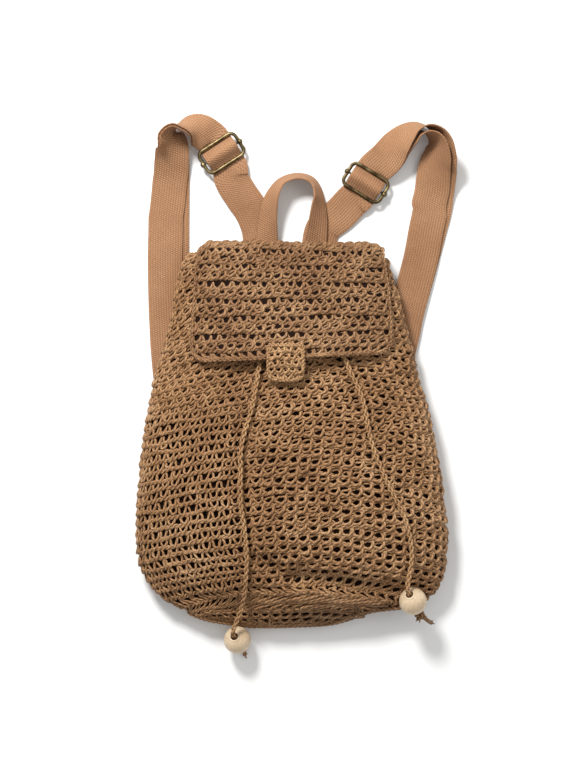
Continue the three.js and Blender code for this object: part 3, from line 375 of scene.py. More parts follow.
class Surface:
    """A grid of points and normals, read between its points. u runs across from 0 to 1, and v up
    through the rows of stitches."""

    def __init__(self, points, closed, stitch_rows):
        self.p, self.closed, self.stitch_rows = points, closed, stitch_rows
        if closed:
            du = np.roll(points, -1, 1) - np.roll(points, 1, 1)
        else:
            du = np.gradient(points, axis=1)
        n = unit(np.cross(du, np.gradient(points, axis=0)))
        for _ in range(2):
            n = (n + np.roll(n, 1, 1) + np.roll(n, -1, 1)) / 3 if closed else n
            n[1:-1] = (n[:-2] + n[1:-1] + n[2:]) / 3
        self.n = unit(n)
        if closed:
            self.p, self.n = (np.concatenate([g, g[:, :1]], 1) for g in (self.p, self.n))

    def read(self, u, v):
        rows, cols = self.p.shape[:2]
        y = np.clip(v / self.stitch_rows, 0, 1) * (rows - 1)
        j = np.minimum(y.astype(int), rows - 2)
        b = (y - j)[..., None]
        x = (np.mod(u, 1.0) if self.closed else np.clip(u, 0, 1)) * (cols - 1)
        i = np.minimum(x.astype(int), cols - 2)
        a = (x - i)[..., None]
        out = []
        for g in (self.p, self.n):
            low = g[j, i] * (1 - a) + g[j, i + 1] * a
            high = g[j + 1, i] * (1 - a) + g[j + 1, i + 1] * a
            out.append(low * (1 - b) + high * b)
        return out[0], unit(out[1])


# Meshes


END_TAPER = 0.15


def quads(rows, cols, row_marks, col_marks):
    """Faces between neighbouring points of a grid, with the marks of their columns and rows as UVs."""
    j, i = np.arange(len(row_marks) - 1)[:, None], np.arange(len(col_marks) - 1)[None]
    k, m = (i + 1) % cols, (j + 1) % rows
    faces = np.stack([j * cols + i, j * cols + k, m * cols + k, m * cols + i], -1).reshape(-1, 4)
    corners = ((i, j), (i + 1, j), (i + 1, j + 1), (i, j + 1))
    marks = [np.stack(np.broadcast_arrays(col_marks[a], row_marks[b]), -1) for a, b in corners]
    return faces, np.stack(marks, -2).reshape(-1, 4, 2)


def tube(points, normals, radius, sides=6, closed=False):
    p = np.asarray(points, float)
    n = len(p)
    t = unit(np.roll(p, -1, 0) - np.roll(p, 1, 0)) if closed else unit(np.gradient(p, axis=0))
    b = unit(np.cross(t, normals))
    up = np.cross(b, t)
    r = np.broadcast_to(np.asarray(radius, float), (n,)).copy()
    if not closed:
        r[[0, -1]] *= END_TAPER
    angle = TAU * np.arange(sides)[None, :, None] / sides
    ring = p[:, None] + r[:, None, None] * (np.cos(angle) * up[:, None] + np.sin(angle) * b[:, None])
    s = along(np.vstack([p, p[:1]]))
    faces, uv = quads(n, sides, s if closed else s[:-1], np.arange(sides + 1) / sides)
    return ring.reshape(-1, 3), faces, uv[..., ::-1]


def grid_mesh(p, closed, uv_size=(1.0, 1.0)):
    rows, cols = p.shape[:2]
    span = cols if closed else cols - 1
    faces, uv = quads(rows, cols, np.arange(rows) / (rows - 1), np.arange(span + 1) / span)
    return p.reshape(-1, 3), faces, uv * np.array(uv_size)


def square_to(axis):
    x = unit(np.cross(axis, UP))
    return x, np.cross(axis, x)


def lathe(centre, axis, profile, count):
    """A profile of radii and heights turned about an axis."""
    x, y = square_to(axis)
    turns = np.linspace(0, -TAU, count + 1)[:-1]
    spokes = [x * cos(a) + y * sin(a) for a in turns]
    rings = [[centre + axis * height + spoke * radius for spoke in spokes] for radius, height in profile]
    return grid_mesh(np.array(rings), True, (6, 6))


def placed(name, data):
    obj = bpy.data.objects.new(name, data)
    bpy.context.scene.collection.objects.link(obj)
    return obj


def piece(name, parts, look, *replaces):
    verts, faces, uvs = zip(*parts)
    starts = np.cumsum([0] + [len(v) for v in verts])
    faces = np.concatenate([f + start for f, start in zip(faces, starts)])
    verts, uvs = np.concatenate(verts), np.concatenate(uvs)
    verts[:, 2] = np.maximum(verts[:, 2], 0.0)
    mesh = bpy.data.meshes.new(name)
    mesh.vertices.add(len(verts))
    mesh.vertices.foreach_set("co", (verts * MM).astype(np.float32).ravel())
    mesh.loops.add(faces.size)
    mesh.loops.foreach_set("vertex_index", faces.astype(np.int32).ravel())
    mesh.polygons.add(len(faces))
    mesh.polygons.foreach_set("loop_start", np.arange(0, faces.size, 4, dtype=np.int32))
    mesh.polygons.foreach_set("use_smooth", np.ones(len(faces), bool))
    layer = mesh.uv_layers.new(name="UVMap")
    layer.data.foreach_set("uv", uvs.astype(np.float32).ravel())
    mesh.update(calc_edges=True)
    mesh.validate()
    material, slot = look
    mesh.materials.append(material)
    obj = placed(name, mesh)
    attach(obj, "root")
    if replaces:
        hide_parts(*replaces)
    return obj


# Materials


class Nodes:
    def __init__(self, name, roughness, metallic=0.0, specular=0.5):
        self.material = bpy.data.materials.new(name)
        self.material.use_nodes = True
        self.tree = self.material.node_tree
        self.inputs = self.tree.nodes["Principled BSDF"].inputs
        same = {"Roughness": roughness, "Metallic": metallic, "Specular IOR Level": specular}
        self.set(self.inputs, same)
        coords = self.node("TexCoord", {}).outputs
        self.object, self.uv = coords["Object"], coords["UV"]

    def set(self, inputs, values):
        for key, value in values.items():
            if isinstance(value, bpy.types.NodeSocket):
                self.tree.links.new(value, inputs[key])
            else:
                inputs[key].default_value = value

    def node(self, kind, values, **settings):
        n = self.tree.nodes.new("ShaderNode" + kind)
        for key, value in settings.items():
            setattr(n, key, value)
        self.set(n.inputs, values)
        return n

    def math(self, operation, a, b=0.0):
        return self.node("Math", {0: a, 1: b}, operation=operation).outputs[0]

    def add(self, a, b):
        return self.math("ADD", a, b)

    def less(self, a, b):
        return self.math("SUBTRACT", a, b)

    def times(self, a, b):
        return self.math("MULTIPLY", a, b)

    def sine(self, value, period):
        return self.math("SINE", self.times(value, TAU / period))

    def total(self, *terms):
        """Values added up, each times its weight."""
        return functools.reduce(self.add, [self.times(value, weight) for value, weight in terms])

    def axes(self, vector):
        n = self.node("SeparateXYZ", {0: vector})
        return n.outputs["X"], n.outputs["Y"]

    def mapped(self, vector, scale, rotation=(0.0, 0.0, 0.0)):
        values = {"Vector": vector, "Rotation": rotation, "Scale": scale}
        return self.node("Mapping", values).outputs["Vector"]

    def noise(self, scale, detail, vector=None):
        values = {"Vector": vector or self.object, "Scale": scale, "Detail": detail}
        return self.node("TexNoise", values).outputs["Fac"]

    def ramp(self, value, *stops):
        n = self.node("ValToRGB", {"Fac": value})
        elements = n.color_ramp.elements
        for element, (place, color) in ((elements[0], stops[0]), (elements[1], stops[-1])):
            element.position, element.color = place, (*color, 1)
        for place, color in stops[1:-1]:
            elements.new(place).color = (*color, 1)
        return n.outputs["Color"]

    def tint(self, factor, color, over):
        """A colour socket with a plain colour laid over it."""
        return self.node("Mix", {0: factor, 6: color, 7: (*over, 1)}, data_type="RGBA").outputs[2]

    def bump(self, height, distance, strength):
        values = {"Height": height, "Distance": distance, "Strength": strength}
        return self.node("Bump", values).outputs["Normal"]

    def finish(self, color, **values):
        self.set(self.inputs, {"Base Color": color, **values})
        return self.material


def rgb(r, g, b):
    return tuple((c / 255 / 12.92) if c <= 10 else ((c / 255 + 0.055) / 1.055) ** 2.4 for c in (r, g, b))


# Painted shade under the crease, low on the right: where it begins at the base, in metres, and how quickly
# it sets in
CREASE_SHADE_BELOW, CREASE_SHADE_RIGHT_OF = -0.139, -0.03
CREASE_SHADE_DOWN, CREASE_SHADE_ACROSS, CREASE_SHADE_SHARE = 45.0, 18.0, 0.42
# The second colour is painted shade, laid low on the right of the bag under the crease
GROOVE_SHADE, CREASE_SHADE, WEAVE_SHADE = (0.05, 0.018, 0.006), (0.05, 0.02, 0.008), (0.13, 0.055, 0.025)
# The webbing's cells across and along, and its picks, in millimetres
CELL_ACROSS, CELL_LONG, PICK = 4.6, 3.9, 0.9


def straw(name, dark, middle, light, ply=5.2):
    """Paper straw: two plies wound round the yarn, fibres along them, and painted shade low on the right,
    under the crease.
    """
    m = Nodes(name, 0.62, specular=0.35)
    long, around = m.axes(m.uv)
    groove = m.add(m.times(m.sine(m.total((long, 1 / ply), (around, 2.0)), 1.0), 0.5), 0.5)
    fibre = m.noise(3.2, 4.0, m.mapped(m.uv, (0.35, 9.0, 1.0)))
    patch, wide = m.noise(75.0, 3.0), m.noise(14.0, 2.0)
    tone = m.total((patch, 0.5), (fibre, 0.5), (m.less(wide, 0.5), 0.45))
    color = m.ramp(tone, (0.28, dark), (0.5, middle), (0.72, light))
    deep = m.math("POWER", m.less(1.0, groove), 2.0)
    color = m.tint(m.times(deep, 0.62), color, GROOVE_SHADE)
    # Painted shade: the straw is darker low on the right of the bag, where the crease above overhangs it
    x, y = m.axes(m.object)
    sides = (m.times(m.less(CREASE_SHADE_BELOW, y), CREASE_SHADE_DOWN), m.times(m.less(x, CREASE_SHADE_RIGHT_OF), CREASE_SHADE_ACROSS))
    low, beside = (m.math("MINIMUM", m.math("MAXIMUM", side, 0.0), 1.0) for side in sides)
    color = m.tint(m.times(m.times(low, beside), CREASE_SHADE_SHARE), color, CREASE_SHADE)
    return m.finish(color, Normal=m.bump(m.total((groove, 0.8), (fibre, 0.35)), 0.0007, 0.9))


def woven(name, dark, light):
    """Cotton webbing: a slanted lattice of small raised cells under fine picks, with lint."""
    m = Nodes(name, 0.82, specular=0.25)
    across, long = m.axes(m.uv)
    a = m.times(across, TAU / CELL_ACROSS)
    b = m.total((long, TAU / CELL_LONG), (a, 0.5))
    cells = m.times(m.math("SINE", m.add(a, b)), m.math("SINE", m.less(a, b)))
    weave = m.total((cells, 0.9), (m.sine(long, PICK), 0.12))
    lint, wide = m.noise(900.0, 3.0), m.noise(22.0, 3.0)
    color = m.ramp(m.total((wide, 0.55), (lint, 0.45)), (0.3, dark), (0.68, light))
    shade = m.math("MAXIMUM", m.times(m.less(0.3, weave), 0.4), 0.0)
    color = m.tint(shade, color, WEAVE_SHADE)
    return m.finish(color, Normal=m.bump(m.add(weave, m.times(lint, 0.5)), 0.0004, 0.9))


def brass():
    m = Nodes("antique_brass", 0.38, 1.0)
    worn, fine = m.noise(160.0, 4.0), m.noise(1400.0, 2.0)
    color = m.ramp(worn, (0.35, rgb(62, 51, 34)), (0.55, rgb(104, 90, 62)), (0.75, rgb(150, 134, 100)))
    rough = m.add(m.times(worn, 0.25), 0.3)
    return m.finish(color, Normal=m.bump(fine, 0.00008, 0.4), Roughness=rough)


def wood():
    m = Nodes("pale_wood", 0.42)
    grain_map = m.mapped(m.object, (1.0, 1.0, 0.16), (0.5, -0.3, 0.2))
    grain, rings = m.noise(420.0, 5.0, grain_map), m.noise(90.0, 2.0, grain_map)
    tones = (0.34, rgb(182, 157, 126)), (0.5, rgb(195, 172, 141)), (0.66, rgb(205, 184, 154))
    color = m.ramp(m.total((grain, 0.55), (rings, 0.45)), *tones)
    m.inputs["Coat Weight"].default_value = 0.15
    return m.finish(color, Normal=m.bump(grain, 0.00012, 0.35))


# Painted shadow: a near-black material for the sheets inside the bag and behind the flap and the tab,
# standing for the shade seen through the holes
def painted_shadow_wall():
    m = Nodes("straw_shadow", 0.9, specular=0.15)
    color = m.ramp(m.noise(260.0, 3.0), (0.35, rgb(14, 4, 1)), (0.7, rgb(34, 14, 6)))
    return m.finish(color, Normal=m.bump(m.noise(420.0, 3.0), 0.0008, 0.8))


# A material and its slot
STRAW = straw("straw_body", rgb(126, 88, 53), rgb(162, 120, 79), rgb(198, 158, 116)), "straw"
STRAW_FLAP = straw("straw_flap", rgb(110, 76, 45), rgb(142, 103, 67), rgb(180, 141, 101)), "straw"
STRAW_CORD = straw("straw_cord", rgb(146, 106, 68), rgb(180, 138, 94), rgb(208, 168, 122), 4.2), "straw_cord"
STRAW_TAB = STRAW_CORD[0], "straw"
WEBBING = woven("webbing", rgb(144, 103, 72), rgb(176, 133, 98)), "webbing"
BRASS = brass(), "antique_brass"
WOOD = wood(), "pale_wood"
# Painted shadow, for the sheets behind the holes
PAINTED_SHADOW = painted_shadow_wall(), "straw"

# Crochet

# In stitches along a row and rows across it, with sinks, reliefs and radii in millimetres:
# the strand of the legs, the ropes between the rows and the strand behind the holes
ROW_MIDDLE, LEG_SWING, LEG_SINK, LEG_RELIEF = 0.52, 0.42, 1.45, 0.95
ROPE_PLACE, ROPE_SWING, ROPE_SINK, ROPE_RELIEF, ROPE_SHARE = 0.03, 0.14, 1.4, 0.72, 0.84
BEHIND_SWING, BEHIND_SINK, BEHIND_DEEPER, BEHIND_RADIUS = 0.3, 2.75, 2.6, 1.15
# How uneven the legs are along, across and out, then the ropes, the strand behind and the radius
JITTERS = (0.09, 0.085, 0.4, 0.06, 0.09, 0.08)
# How far below the bag's middle the yarn gets thinner, and by what share
THIN_FROM, THIN_TO, LEG_THINNER, ROPE_THINNER = 140, 165, 0.2, 0.24


def jitter(count, size, closed):
    values = rng.normal(0, size, count + 1)
    if closed:
        values[-1] = values[0]
    return values


def eased(values, x):
    n = len(values) - 1
    q = np.clip(x, 0, n - 1e-9)
    i = q.astype(int)
    t = q - i
    t = t * t * (3 - 2 * t)
    return values[i] * (1 - t) + values[i + 1] * t


def stitch_places(count, shift, front_steps, back_steps, closed):
    """Places along a row, closer together on the front than at the back."""
    spots = []
    for stitch in range(count):
        u = (stitch + 0.5 + shift) / count
        steps = front_steps if not closed or 0.22 < u % 1.0 < 0.78 else back_steps
        spots.append(stitch + np.arange(steps) / steps)
    x = np.concatenate(spots)
    return x if closed else np.append(x, count)


def stitch_row(surface, v, count, shift, radius, vness, closed, depth=0.0):
    """One row: a strand of slanted legs over and under, the two-strand rope between rows, and the
    strand that crosses behind the holes. vness is 0 where the legs zigzag and 1 where they slant."""
    span = count if closed else count + 2 * shift

    def place(at):
        u = (at + shift) / span
        return u if closed else np.clip(u, 0.004, 0.996)

    def skew_at(at):
        return vness(surface.read(place(at), np.full(len(at), v))[0])

    def wave(at):
        rise = 0.07 * np.sin(0.83 * at + 1.9 * v) + 0.05 * np.sin(1.37 * at - 2.3 * v)
        return rise * ease(at, 0, 3) * (1 - ease(at, count - 3, count)) if closed else rise

    def strand(at, up, out, width, thinner, sides):
        p, n = surface.read(place(at), up)
        thin = 1 - thinner * ease(-p[:, 1], THIN_FROM, THIN_TO)
        return tube(p + n * out[:, None], n, width * thin, sides, closed)

    x = stitch_places(count, shift, 10, 6, closed)
    jx, jy, jz, rope_y, behind_y, jr = (jitter(count, size, closed) for size in JITTERS)
    skew = skew_at(x)
    turn = TAU * (x - np.floor(x))
    sway = (0.62 - 0.85 * skew) * np.sin(2 * turn) / (4 * np.pi) + (0.05 + 0.2 * skew) * np.sin(turn)
    up = v + ROW_MIDDLE + wave(x) - LEG_SWING * np.cos(turn) + eased(jy, x)
    out = -depth - LEG_SINK + (LEG_RELIEF - 0.2 * skew) * np.cos(turn) + 0.8 * skew * np.sin(turn)
    out += eased(jz, x)
    width = radius * (0.84 + 0.16 * skew) * (1.0 + 0.07 * np.sin(5 * x + v) + eased(jr, x))
    parts = [strand(x + sway + eased(jx, x), up, out, width, LEG_THINNER, 6)]

    x = stitch_places(count, shift, 7, 5, closed)
    skew = skew_at(x)
    for turn in (TAU * x, TAU * x + np.pi):
        up = v + ROPE_PLACE + wave(x) + eased(rope_y, x) + ROPE_SWING * np.sin(turn)
        out = -depth - ROPE_SINK - 0.35 * skew + ROPE_RELIEF * np.cos(turn) + 0.5 * eased(jz, x)
        parts.append(strand(x, up, out, radius * ROPE_SHARE, ROPE_THINNER, 5))

    first, last = (0.25, 0.75) if closed else (0.02, 0.98)
    x = np.arange(ceil((first * span - shift) * 6), floor((last * span - shift) * 6)) / 6
    turn = TAU * x
    up = v + ROW_MIDDLE + wave(x) + BEHIND_SWING * np.cos(turn - 0.7)
    up += eased(behind_y, np.mod(x, count))
    p, n = surface.read(place(x + 0.28 * np.sin(turn)), up)
    out = -depth - BEHIND_SINK - BEHIND_DEEPER * (1 - ease(vness(p), 0.0, 0.35)) + 0.5 * np.sin(turn)
    parts.append(tube(p + n * out[:, None], n, BEHIND_RADIUS, 5))
    return parts


def twist(line, normals, radius, apart, pitch, strands=2, steps=10, lift=0.55, phase=0.0):
    """Strands wound round a line: chain edging, cords and ropes."""
    s = along(line)
    turns = max(1, round(s[-1] / pitch))
    n = int(turns * steps)
    to = np.linspace(0, s[-1], n + 1)
    p, m = (read_at(to, s, v) for v in (line, normals))
    t = unit(np.gradient(p, axis=0))
    b = unit(np.cross(t, unit(m)))
    m = np.cross(b, t)
    parts = []
    for q in range(strands):
        a = TAU * turns * np.arange(n + 1) / n + TAU * q / strands + phase
        wound = p + b * (apart * np.sin(a))[:, None] + m * (apart * lift * np.cos(a))[:, None]
        parts.append(tube(wound, m, radius))
    return parts


# Bag: rounds of stitches over the sampled surface

ROW_ARCH = 0.0011
STITCH_LENGTH, STITCH_RADIUS = 9.3, 1.45
COLUMNS, LINES_A_ROW = 640, 4
BAG_PIECES = 5


def pitch_at(y):
    return np.interp(y, [-178, -150, -132, -60, -11, 54, 165], [9.6, 9.6, 9.2, 8.8, 8.4, 7.3, 6.6])


def slant_at(y):
    return np.interp(y, [-150, -110, -75, -40, 0, 60, 170], [0.1, 0.1, 0.0, -0.1, -0.2, -0.2, -0.15])


def uneven(p, size):
    """The soft waviness of hand work, in millimetres out of the surface."""
    x, y = p[..., 0], p[..., 1]
    wave = np.sin(x / 9.7 + 1.3 * np.sin(y / 17.0)) * np.sin(y / 12.1 + 1.1 * np.sin(x / 23.0))
    return size * (wave + 0.6 * np.sin(x / 5.3 + y / 7.9))[..., None]


def bag_vness(p):
    return np.clip(ease(p[:, 0], -60, 0) + ease(p[:, 1], 0, 70), 0, 1)


fine_at = np.linspace(0, 1, 2400)
mid_line = body_ring(fine_at[:, None], 0, np.pi / 2)[:, 0]
mid_length = along(mid_line)
row_lengths = [0.0]
while row_lengths[-1] < mid_length[-1]:
    y = np.interp(row_lengths[-1], mid_length, mid_line[:, 1])
    row_lengths.append(row_lengths[-1] + float(pitch_at(y)))
row_lengths = np.array(row_lengths) * mid_length[-1] / row_lengths[-1]
ROWS = len(row_lengths) - 1
row_at = np.interp(row_lengths, mid_length, fine_at)

angles = -np.pi / 2 - TAU * np.arange(900) / 900
at_lines = np.interp(np.linspace(0, ROWS, ROWS * LINES_A_ROW + 1), np.arange(ROWS + 1), row_at)
arch_fade = ease(at_lines, 0.0, 0.09) * (1 - ease(at_lines, 0.86, 0.99))
grid, perimeter = [], []
for at, arched in zip(at_lines, arch_fade):
    flat_x = body_ring(at, 0, angles)[:, 0]
    bent = np.clip(at - ROW_ARCH * flat_x**2 * arched / BODY_LENGTH, 0.001, 0.9995)
    ring = body_ring(bent, 0, angles)
    loop = np.vstack([ring, ring[:1]])
    perimeter.append(along(loop)[-1])
    grid.append(even(loop, COLUMNS + 1)[:-1])
BAG = Surface(np.array(grid), True, ROWS)
BAG.p = BAG.p + BAG.n * uneven(BAG.p, 0.45)

shift = np.zeros(ROWS + 1)
for r in range(ROWS - 1, -1, -1):
    y = float(BAG.read(np.array([0.5]), np.array([r + 0.5]))[0][0, 1])
    shift[r] = shift[r + 1] + float(slant_at(y))
groups = [[] for _ in range(BAG_PIECES)]
for r in range(ROWS):
    round_length = perimeter[r * LINES_A_ROW + LINES_A_ROW // 2]
    count = int(min(64, max(8, round(round_length / STITCH_LENGTH))))
    row = stitch_row(BAG, float(r), count, shift[r], STITCH_RADIUS, bag_vness, True)
    groups[r * BAG_PIECES // ROWS] += row
for g, parts in enumerate(groups):
    piece(f"bag_crochet_{g + 1}", parts, STRAW, *(["bag_body"] if g == 0 else []))

# Painted shadow inside the bag: a dark sheet, closed at the base, that stands for the shade seen through the
# holes
shadow_angles = -TAU * np.arange(128)[None] / 128
shadow_at = np.concatenate([np.linspace(0.004, 0.1, 20), np.linspace(0.115, 0.992, 50)])[:, None]
outer, inner = (body_ring(shadow_at, inset, shadow_angles) for inset in (4.2, 4.8))
low = outer[0].mean(0)
low_in = inner[0].mean(0) + np.array([0, 0.7, 0])
cap_out = np.stack([low + (outer[0] - low) * share for share in (0.02, 0.5)])
cap_in = np.stack([low_in + (inner[0] - low) * share for share in (0.5, 0.02)])
shadow_grid = np.concatenate([cap_out, outer, inner[::-1], cap_in])
piece("bag_shadow_wall", [grid_mesh(shadow_grid, True, (60, 60))], PAINTED_SHADOW)

rim, rim_n = BAG.read(np.linspace(0, 1, 400), np.full(400, ROWS - 0.15))
piece("bag_rim", twist(rim - rim_n * 1.5, rim_n, 1.1, 1.1, 8.0), STRAW)

# The yarn that closes the bottom runs along its slanted edge, from the left corner to the right one
HEM_INSIDE = np.array([-6.0, -60.0, 22.0])
left_at, right_at = np.linspace(0.04, 0.0005, 60)[:, None], np.linspace(0.0005, 0.082, 90)[:, None]
parts = []
for height in (-1.3, -1.0, -0.7, -0.4, -0.1, 0.2, 0.5):
    left_edge = body_ring(left_at, 0.9, np.pi - height)[:, 0]
    right_edge = body_ring(right_at, 0.4, height)[:, 0]
    line = even(np.concatenate([left_edge, right_edge]), 260)
    parts += twist(line, unit(line - HEM_INSIDE), 1.3, 1.3, 9.0, steps=9, phase=2 * height)
piece("bag_hem", parts, STRAW)

# Flap

FLAP_PITCH, FLAP_STITCHES, FLAP_YARN, TAB_ROWS, TAB_YARN = 7.6, 21, 1.52, 5, 1.38


def corner_cut(end, radius):
    """How far a rounded corner takes the side in, at a distance from the end."""
    return radius - sqrt(radius**2 - (radius - end) ** 2) if end < radius else 0.0


def flap_grid(columns=64, fold_steps=24, front_steps=48):
    start_y = RIM_Y + GAP
    centre_x = (between(BODY_SECTIONS, 1, 1) + between(BODY_SECTIONS, 2, 1)) * BODY_WIDTH / 4

    def edge(key, at):
        return centre_x + between(FLAP_SECTIONS, key, at) * FLAP_WIDTH / 2

    def gap_over(x, at):
        middle = between(FLAP_SECTIONS, 3, at) * BODY_DEPTH
        out = np.minimum(np.abs(x - centre_x) / (FLAP_WIDTH / 2), 1)
        return FLAP_AIR + np.maximum(middle - FLAP_AIR, 0) * (1 - out**4) + FLAP_WALL / 2

    back_z = SEAM_STACK + FLAP_WALL / 2
    rows = []
    share = np.linspace(0, 1, columns + 1)
    for j in range(fold_steps + 1):
        turn = radians(-90 + 180 * max(j - 1, 0) / (fold_steps - 1))
        start = 0 if j == 0 else 2.0
        x = edge(1, 0) + (edge(2, 0) - edge(1, 0)) * share
        lean = LEAN * x
        top = front_height(x, RIM_Y + lean) + gap_over(x, 0)
        z = (back_z + top) / 2 + (top - back_z) / 2 * sin(turn)
        fold = FLAP_FOLD - lean * 0.5
        rows.append(np.stack([x, start_y + lean + start + fold * cos(turn), z], 1))
    for j in range(1, front_steps + 1):
        at = 1 - (1 - j / front_steps) ** 1.25
        below = at * FLAP_LENGTH
        corner = corner_cut(FLAP_LENGTH - below, FLAP_CORNER)
        left, right = edge(1, at) + corner, edge(2, at) - corner
        x = left + (right - left) * share
        lean = LEAN * x
        y = start_y + lean * (1 - at) + FLAP_SKEW * (x - centre_x) * at - below
        z = front_height(x, np.minimum(y, RIM_Y + lean)) + gap_over(x, at)
        rows.append(np.stack([x, y, z], 1))
    rows = np.array(rows)
    # The fold sinks at both ends, more on the left, and is a little wavy
    top = ease(rows[:, :, 1], RIM_Y - 12, RIM_Y + 8)
    sink = 8.0 * np.maximum(1 - share / 0.09, 0) ** 2 + 3.0 * np.maximum((share - 0.94) / 0.06, 0) ** 2
    ripple = 0.5 * np.sin(23 * share) + 0.35 * np.sin(41 * share + 1)
    rows[:, :, 1] += top * (ripple - sink)
    return rows[::-1]


def resampled(rows, n):
    s = along(rows[:, rows.shape[1] // 2])
    flat = rows.reshape(len(rows), -1)
    return read_at(np.linspace(0, s[-1], n), s, flat).reshape(n, -1, 3), s[-1]


def flat_shape(value):
    return lambda p: np.full(len(p), value)


def shadow_sheets(grid, normals, outside, inside, size):
    """Painted shadow behind a flat crochet, as two dark sheets that face out and in, where only shade shows
    through the holes.
    """
    sheets = (grid + normals * -outside, (grid + normals * -inside)[:, ::-1])
    return [grid_mesh(sheet, False, (size, size)) for sheet in sheets]


def edge_path(surface, corners, n):
    """Points and normals along straight runs between corners of a surface."""
    runs = [np.linspace(start, end, n) for start, end in zip(corners, corners[1:])]
    return surface.read(*np.concatenate(runs).T)


def flap_edging(off):
    p, m = edge_path(FLAP, [(0, FLAP_ROWS), (0, 0), (1, 0), (1, FLAP_ROWS)], 160)
    keep = np.concatenate([[True], np.linalg.norm(np.diff(p, axis=0), axis=1) > 0.05])
    return even(p[keep] + m[keep] * off, 500), even(m[keep], 500)


flap_rows, flap_long = resampled(flap_grid(), 160)
FLAP_ROWS = int(round(flap_long / FLAP_PITCH))
FLAP = Surface(flap_rows, False, FLAP_ROWS)
FLAP.p = FLAP.p + FLAP.n * uneven(FLAP.p, 0.4)
parts = []
for r in range(FLAP_ROWS):
    even_row = r % 2 == 0
    shape = flat_shape(0.45 if even_row else 1.0)
    count, start, depth = FLAP_STITCHES + even_row, -0.5 * even_row, -1.3 + 0.7 * even_row
    parts += stitch_row(FLAP, float(r), count, start, FLAP_YARN, shape, False, depth)
piece("flap_crochet", parts, STRAW_FLAP, "flap")
# Painted shadow under the flap's holes
piece("flap_shadow_sheet", shadow_sheets(flap_rows[::2], FLAP.n[::2], 0.9, 1.35, 20), PAINTED_SHADOW)
piece("flap_edging", twist(*flap_edging(0.2), 1.05, 1.2, 9.2, lift=0.45), STRAW_FLAP)
piece("flap_edging_under", twist(*flap_edging(-1.1), 1.0, 0.9, 8.4), STRAW_FLAP)

# Tab
flap_edge = flap_grid(16, 8, 13)[0]
over_flap = flap_edge[7, 2] + FLAP_WALL + GAP + TAB_STAND
tab_top = RIM_Y + GAP - FLAP_LENGTH + TAB_ON_FLAP
across = np.linspace(-1, 1, 25)
tab_rows = []
for down in np.linspace(0, TAB_LENGTH, 41):
    corner = corner_cut(TAB_LENGTH - down, TAB_CORNER)
    x = TAB_CENTRE + across * (TAB_WIDTH / 2 - corner)
    droop = TAB_DROOP * ease(down, TAB_ON_FLAP + 2, TAB_LENGTH + 6)
    z = over_flap - droop - TAB_CAMBER * across**2
    tab_rows.append(np.stack([x, np.full(25, tab_top - down), z], 1))
tab_grid = np.array(tab_rows)[::-1]
TAB = Surface(tab_grid, False, TAB_ROWS)
parts = []
for r in range(TAB_ROWS):
    odd = r % 2
    shape = flat_shape(0.5 + 0.4 * odd)
    parts += stitch_row(TAB, float(r), 5 + odd, -0.5 * odd, TAB_YARN, shape, False, -1.2)
piece("tab_crochet", parts, STRAW_TAB, "flap_tab")
# Painted shadow under the tab's holes
piece("tab_shadow_sheet", shadow_sheets(tab_grid, TAB.n, 0.8, 1.3, 4), PAINTED_SHADOW)
p, m = edge_path(TAB, [(0, TAB_ROWS), (0, 0), (1, 0), (1, TAB_ROWS), (0, TAB_ROWS)], 60)
piece("tab_edging", twist(even(p, 240), even(m, 240), 1.0, 1.0, 7.2, lift=0.5), STRAW_TAB)

# Drawstring: chain-stitch cords, beads and knots

NECK_Y = RIM_Y - 24
NECK_INSET = FLAP_WALL + CORD_DIAMETER / 2 + SOFT_GAP
EYELETS = (-19, 27)


def carried(line):
    """A direction that keeps square to the line and turns as little as it can."""
    t = unit(np.gradient(line, axis=0))
    out = [UP]
    for tangent in t:
        out.append(unit(out[-1] - tangent * (out[-1] @ tangent)))
    return np.array(out[1:])


def yarn_end(points, thick, thin):
    """A short loose strand that keeps off the floor."""
    points = np.array(points)
    points[:, 2] = np.maximum(points[:, 2], 0.5)
    return tube(points, carried(points), np.linspace(thick, thin, len(points)), 5)


lip = [(3.5, 9.6), (3.3, 11.4), (3.8, 12.15), (4.8, 11.9)]
limit = acos(BEAD_FACE / BEAD_RADIUS) * 0.97
bead_profile = [(r, -h) for r, h in lip]
for a in np.linspace(-limit, limit, 26):
    bead_profile.append((BEAD_RADIUS * cos(a), BEAD_RADIUS * sin(a) * BEAD_LENGTH))
bead_profile += [*lip[::-1], (3.5, -9.6)]
theta = np.linspace(0, TAU, 100)[:-1, None]
knot_width = 2.5 + 1.2 * np.cos(3 * theta)

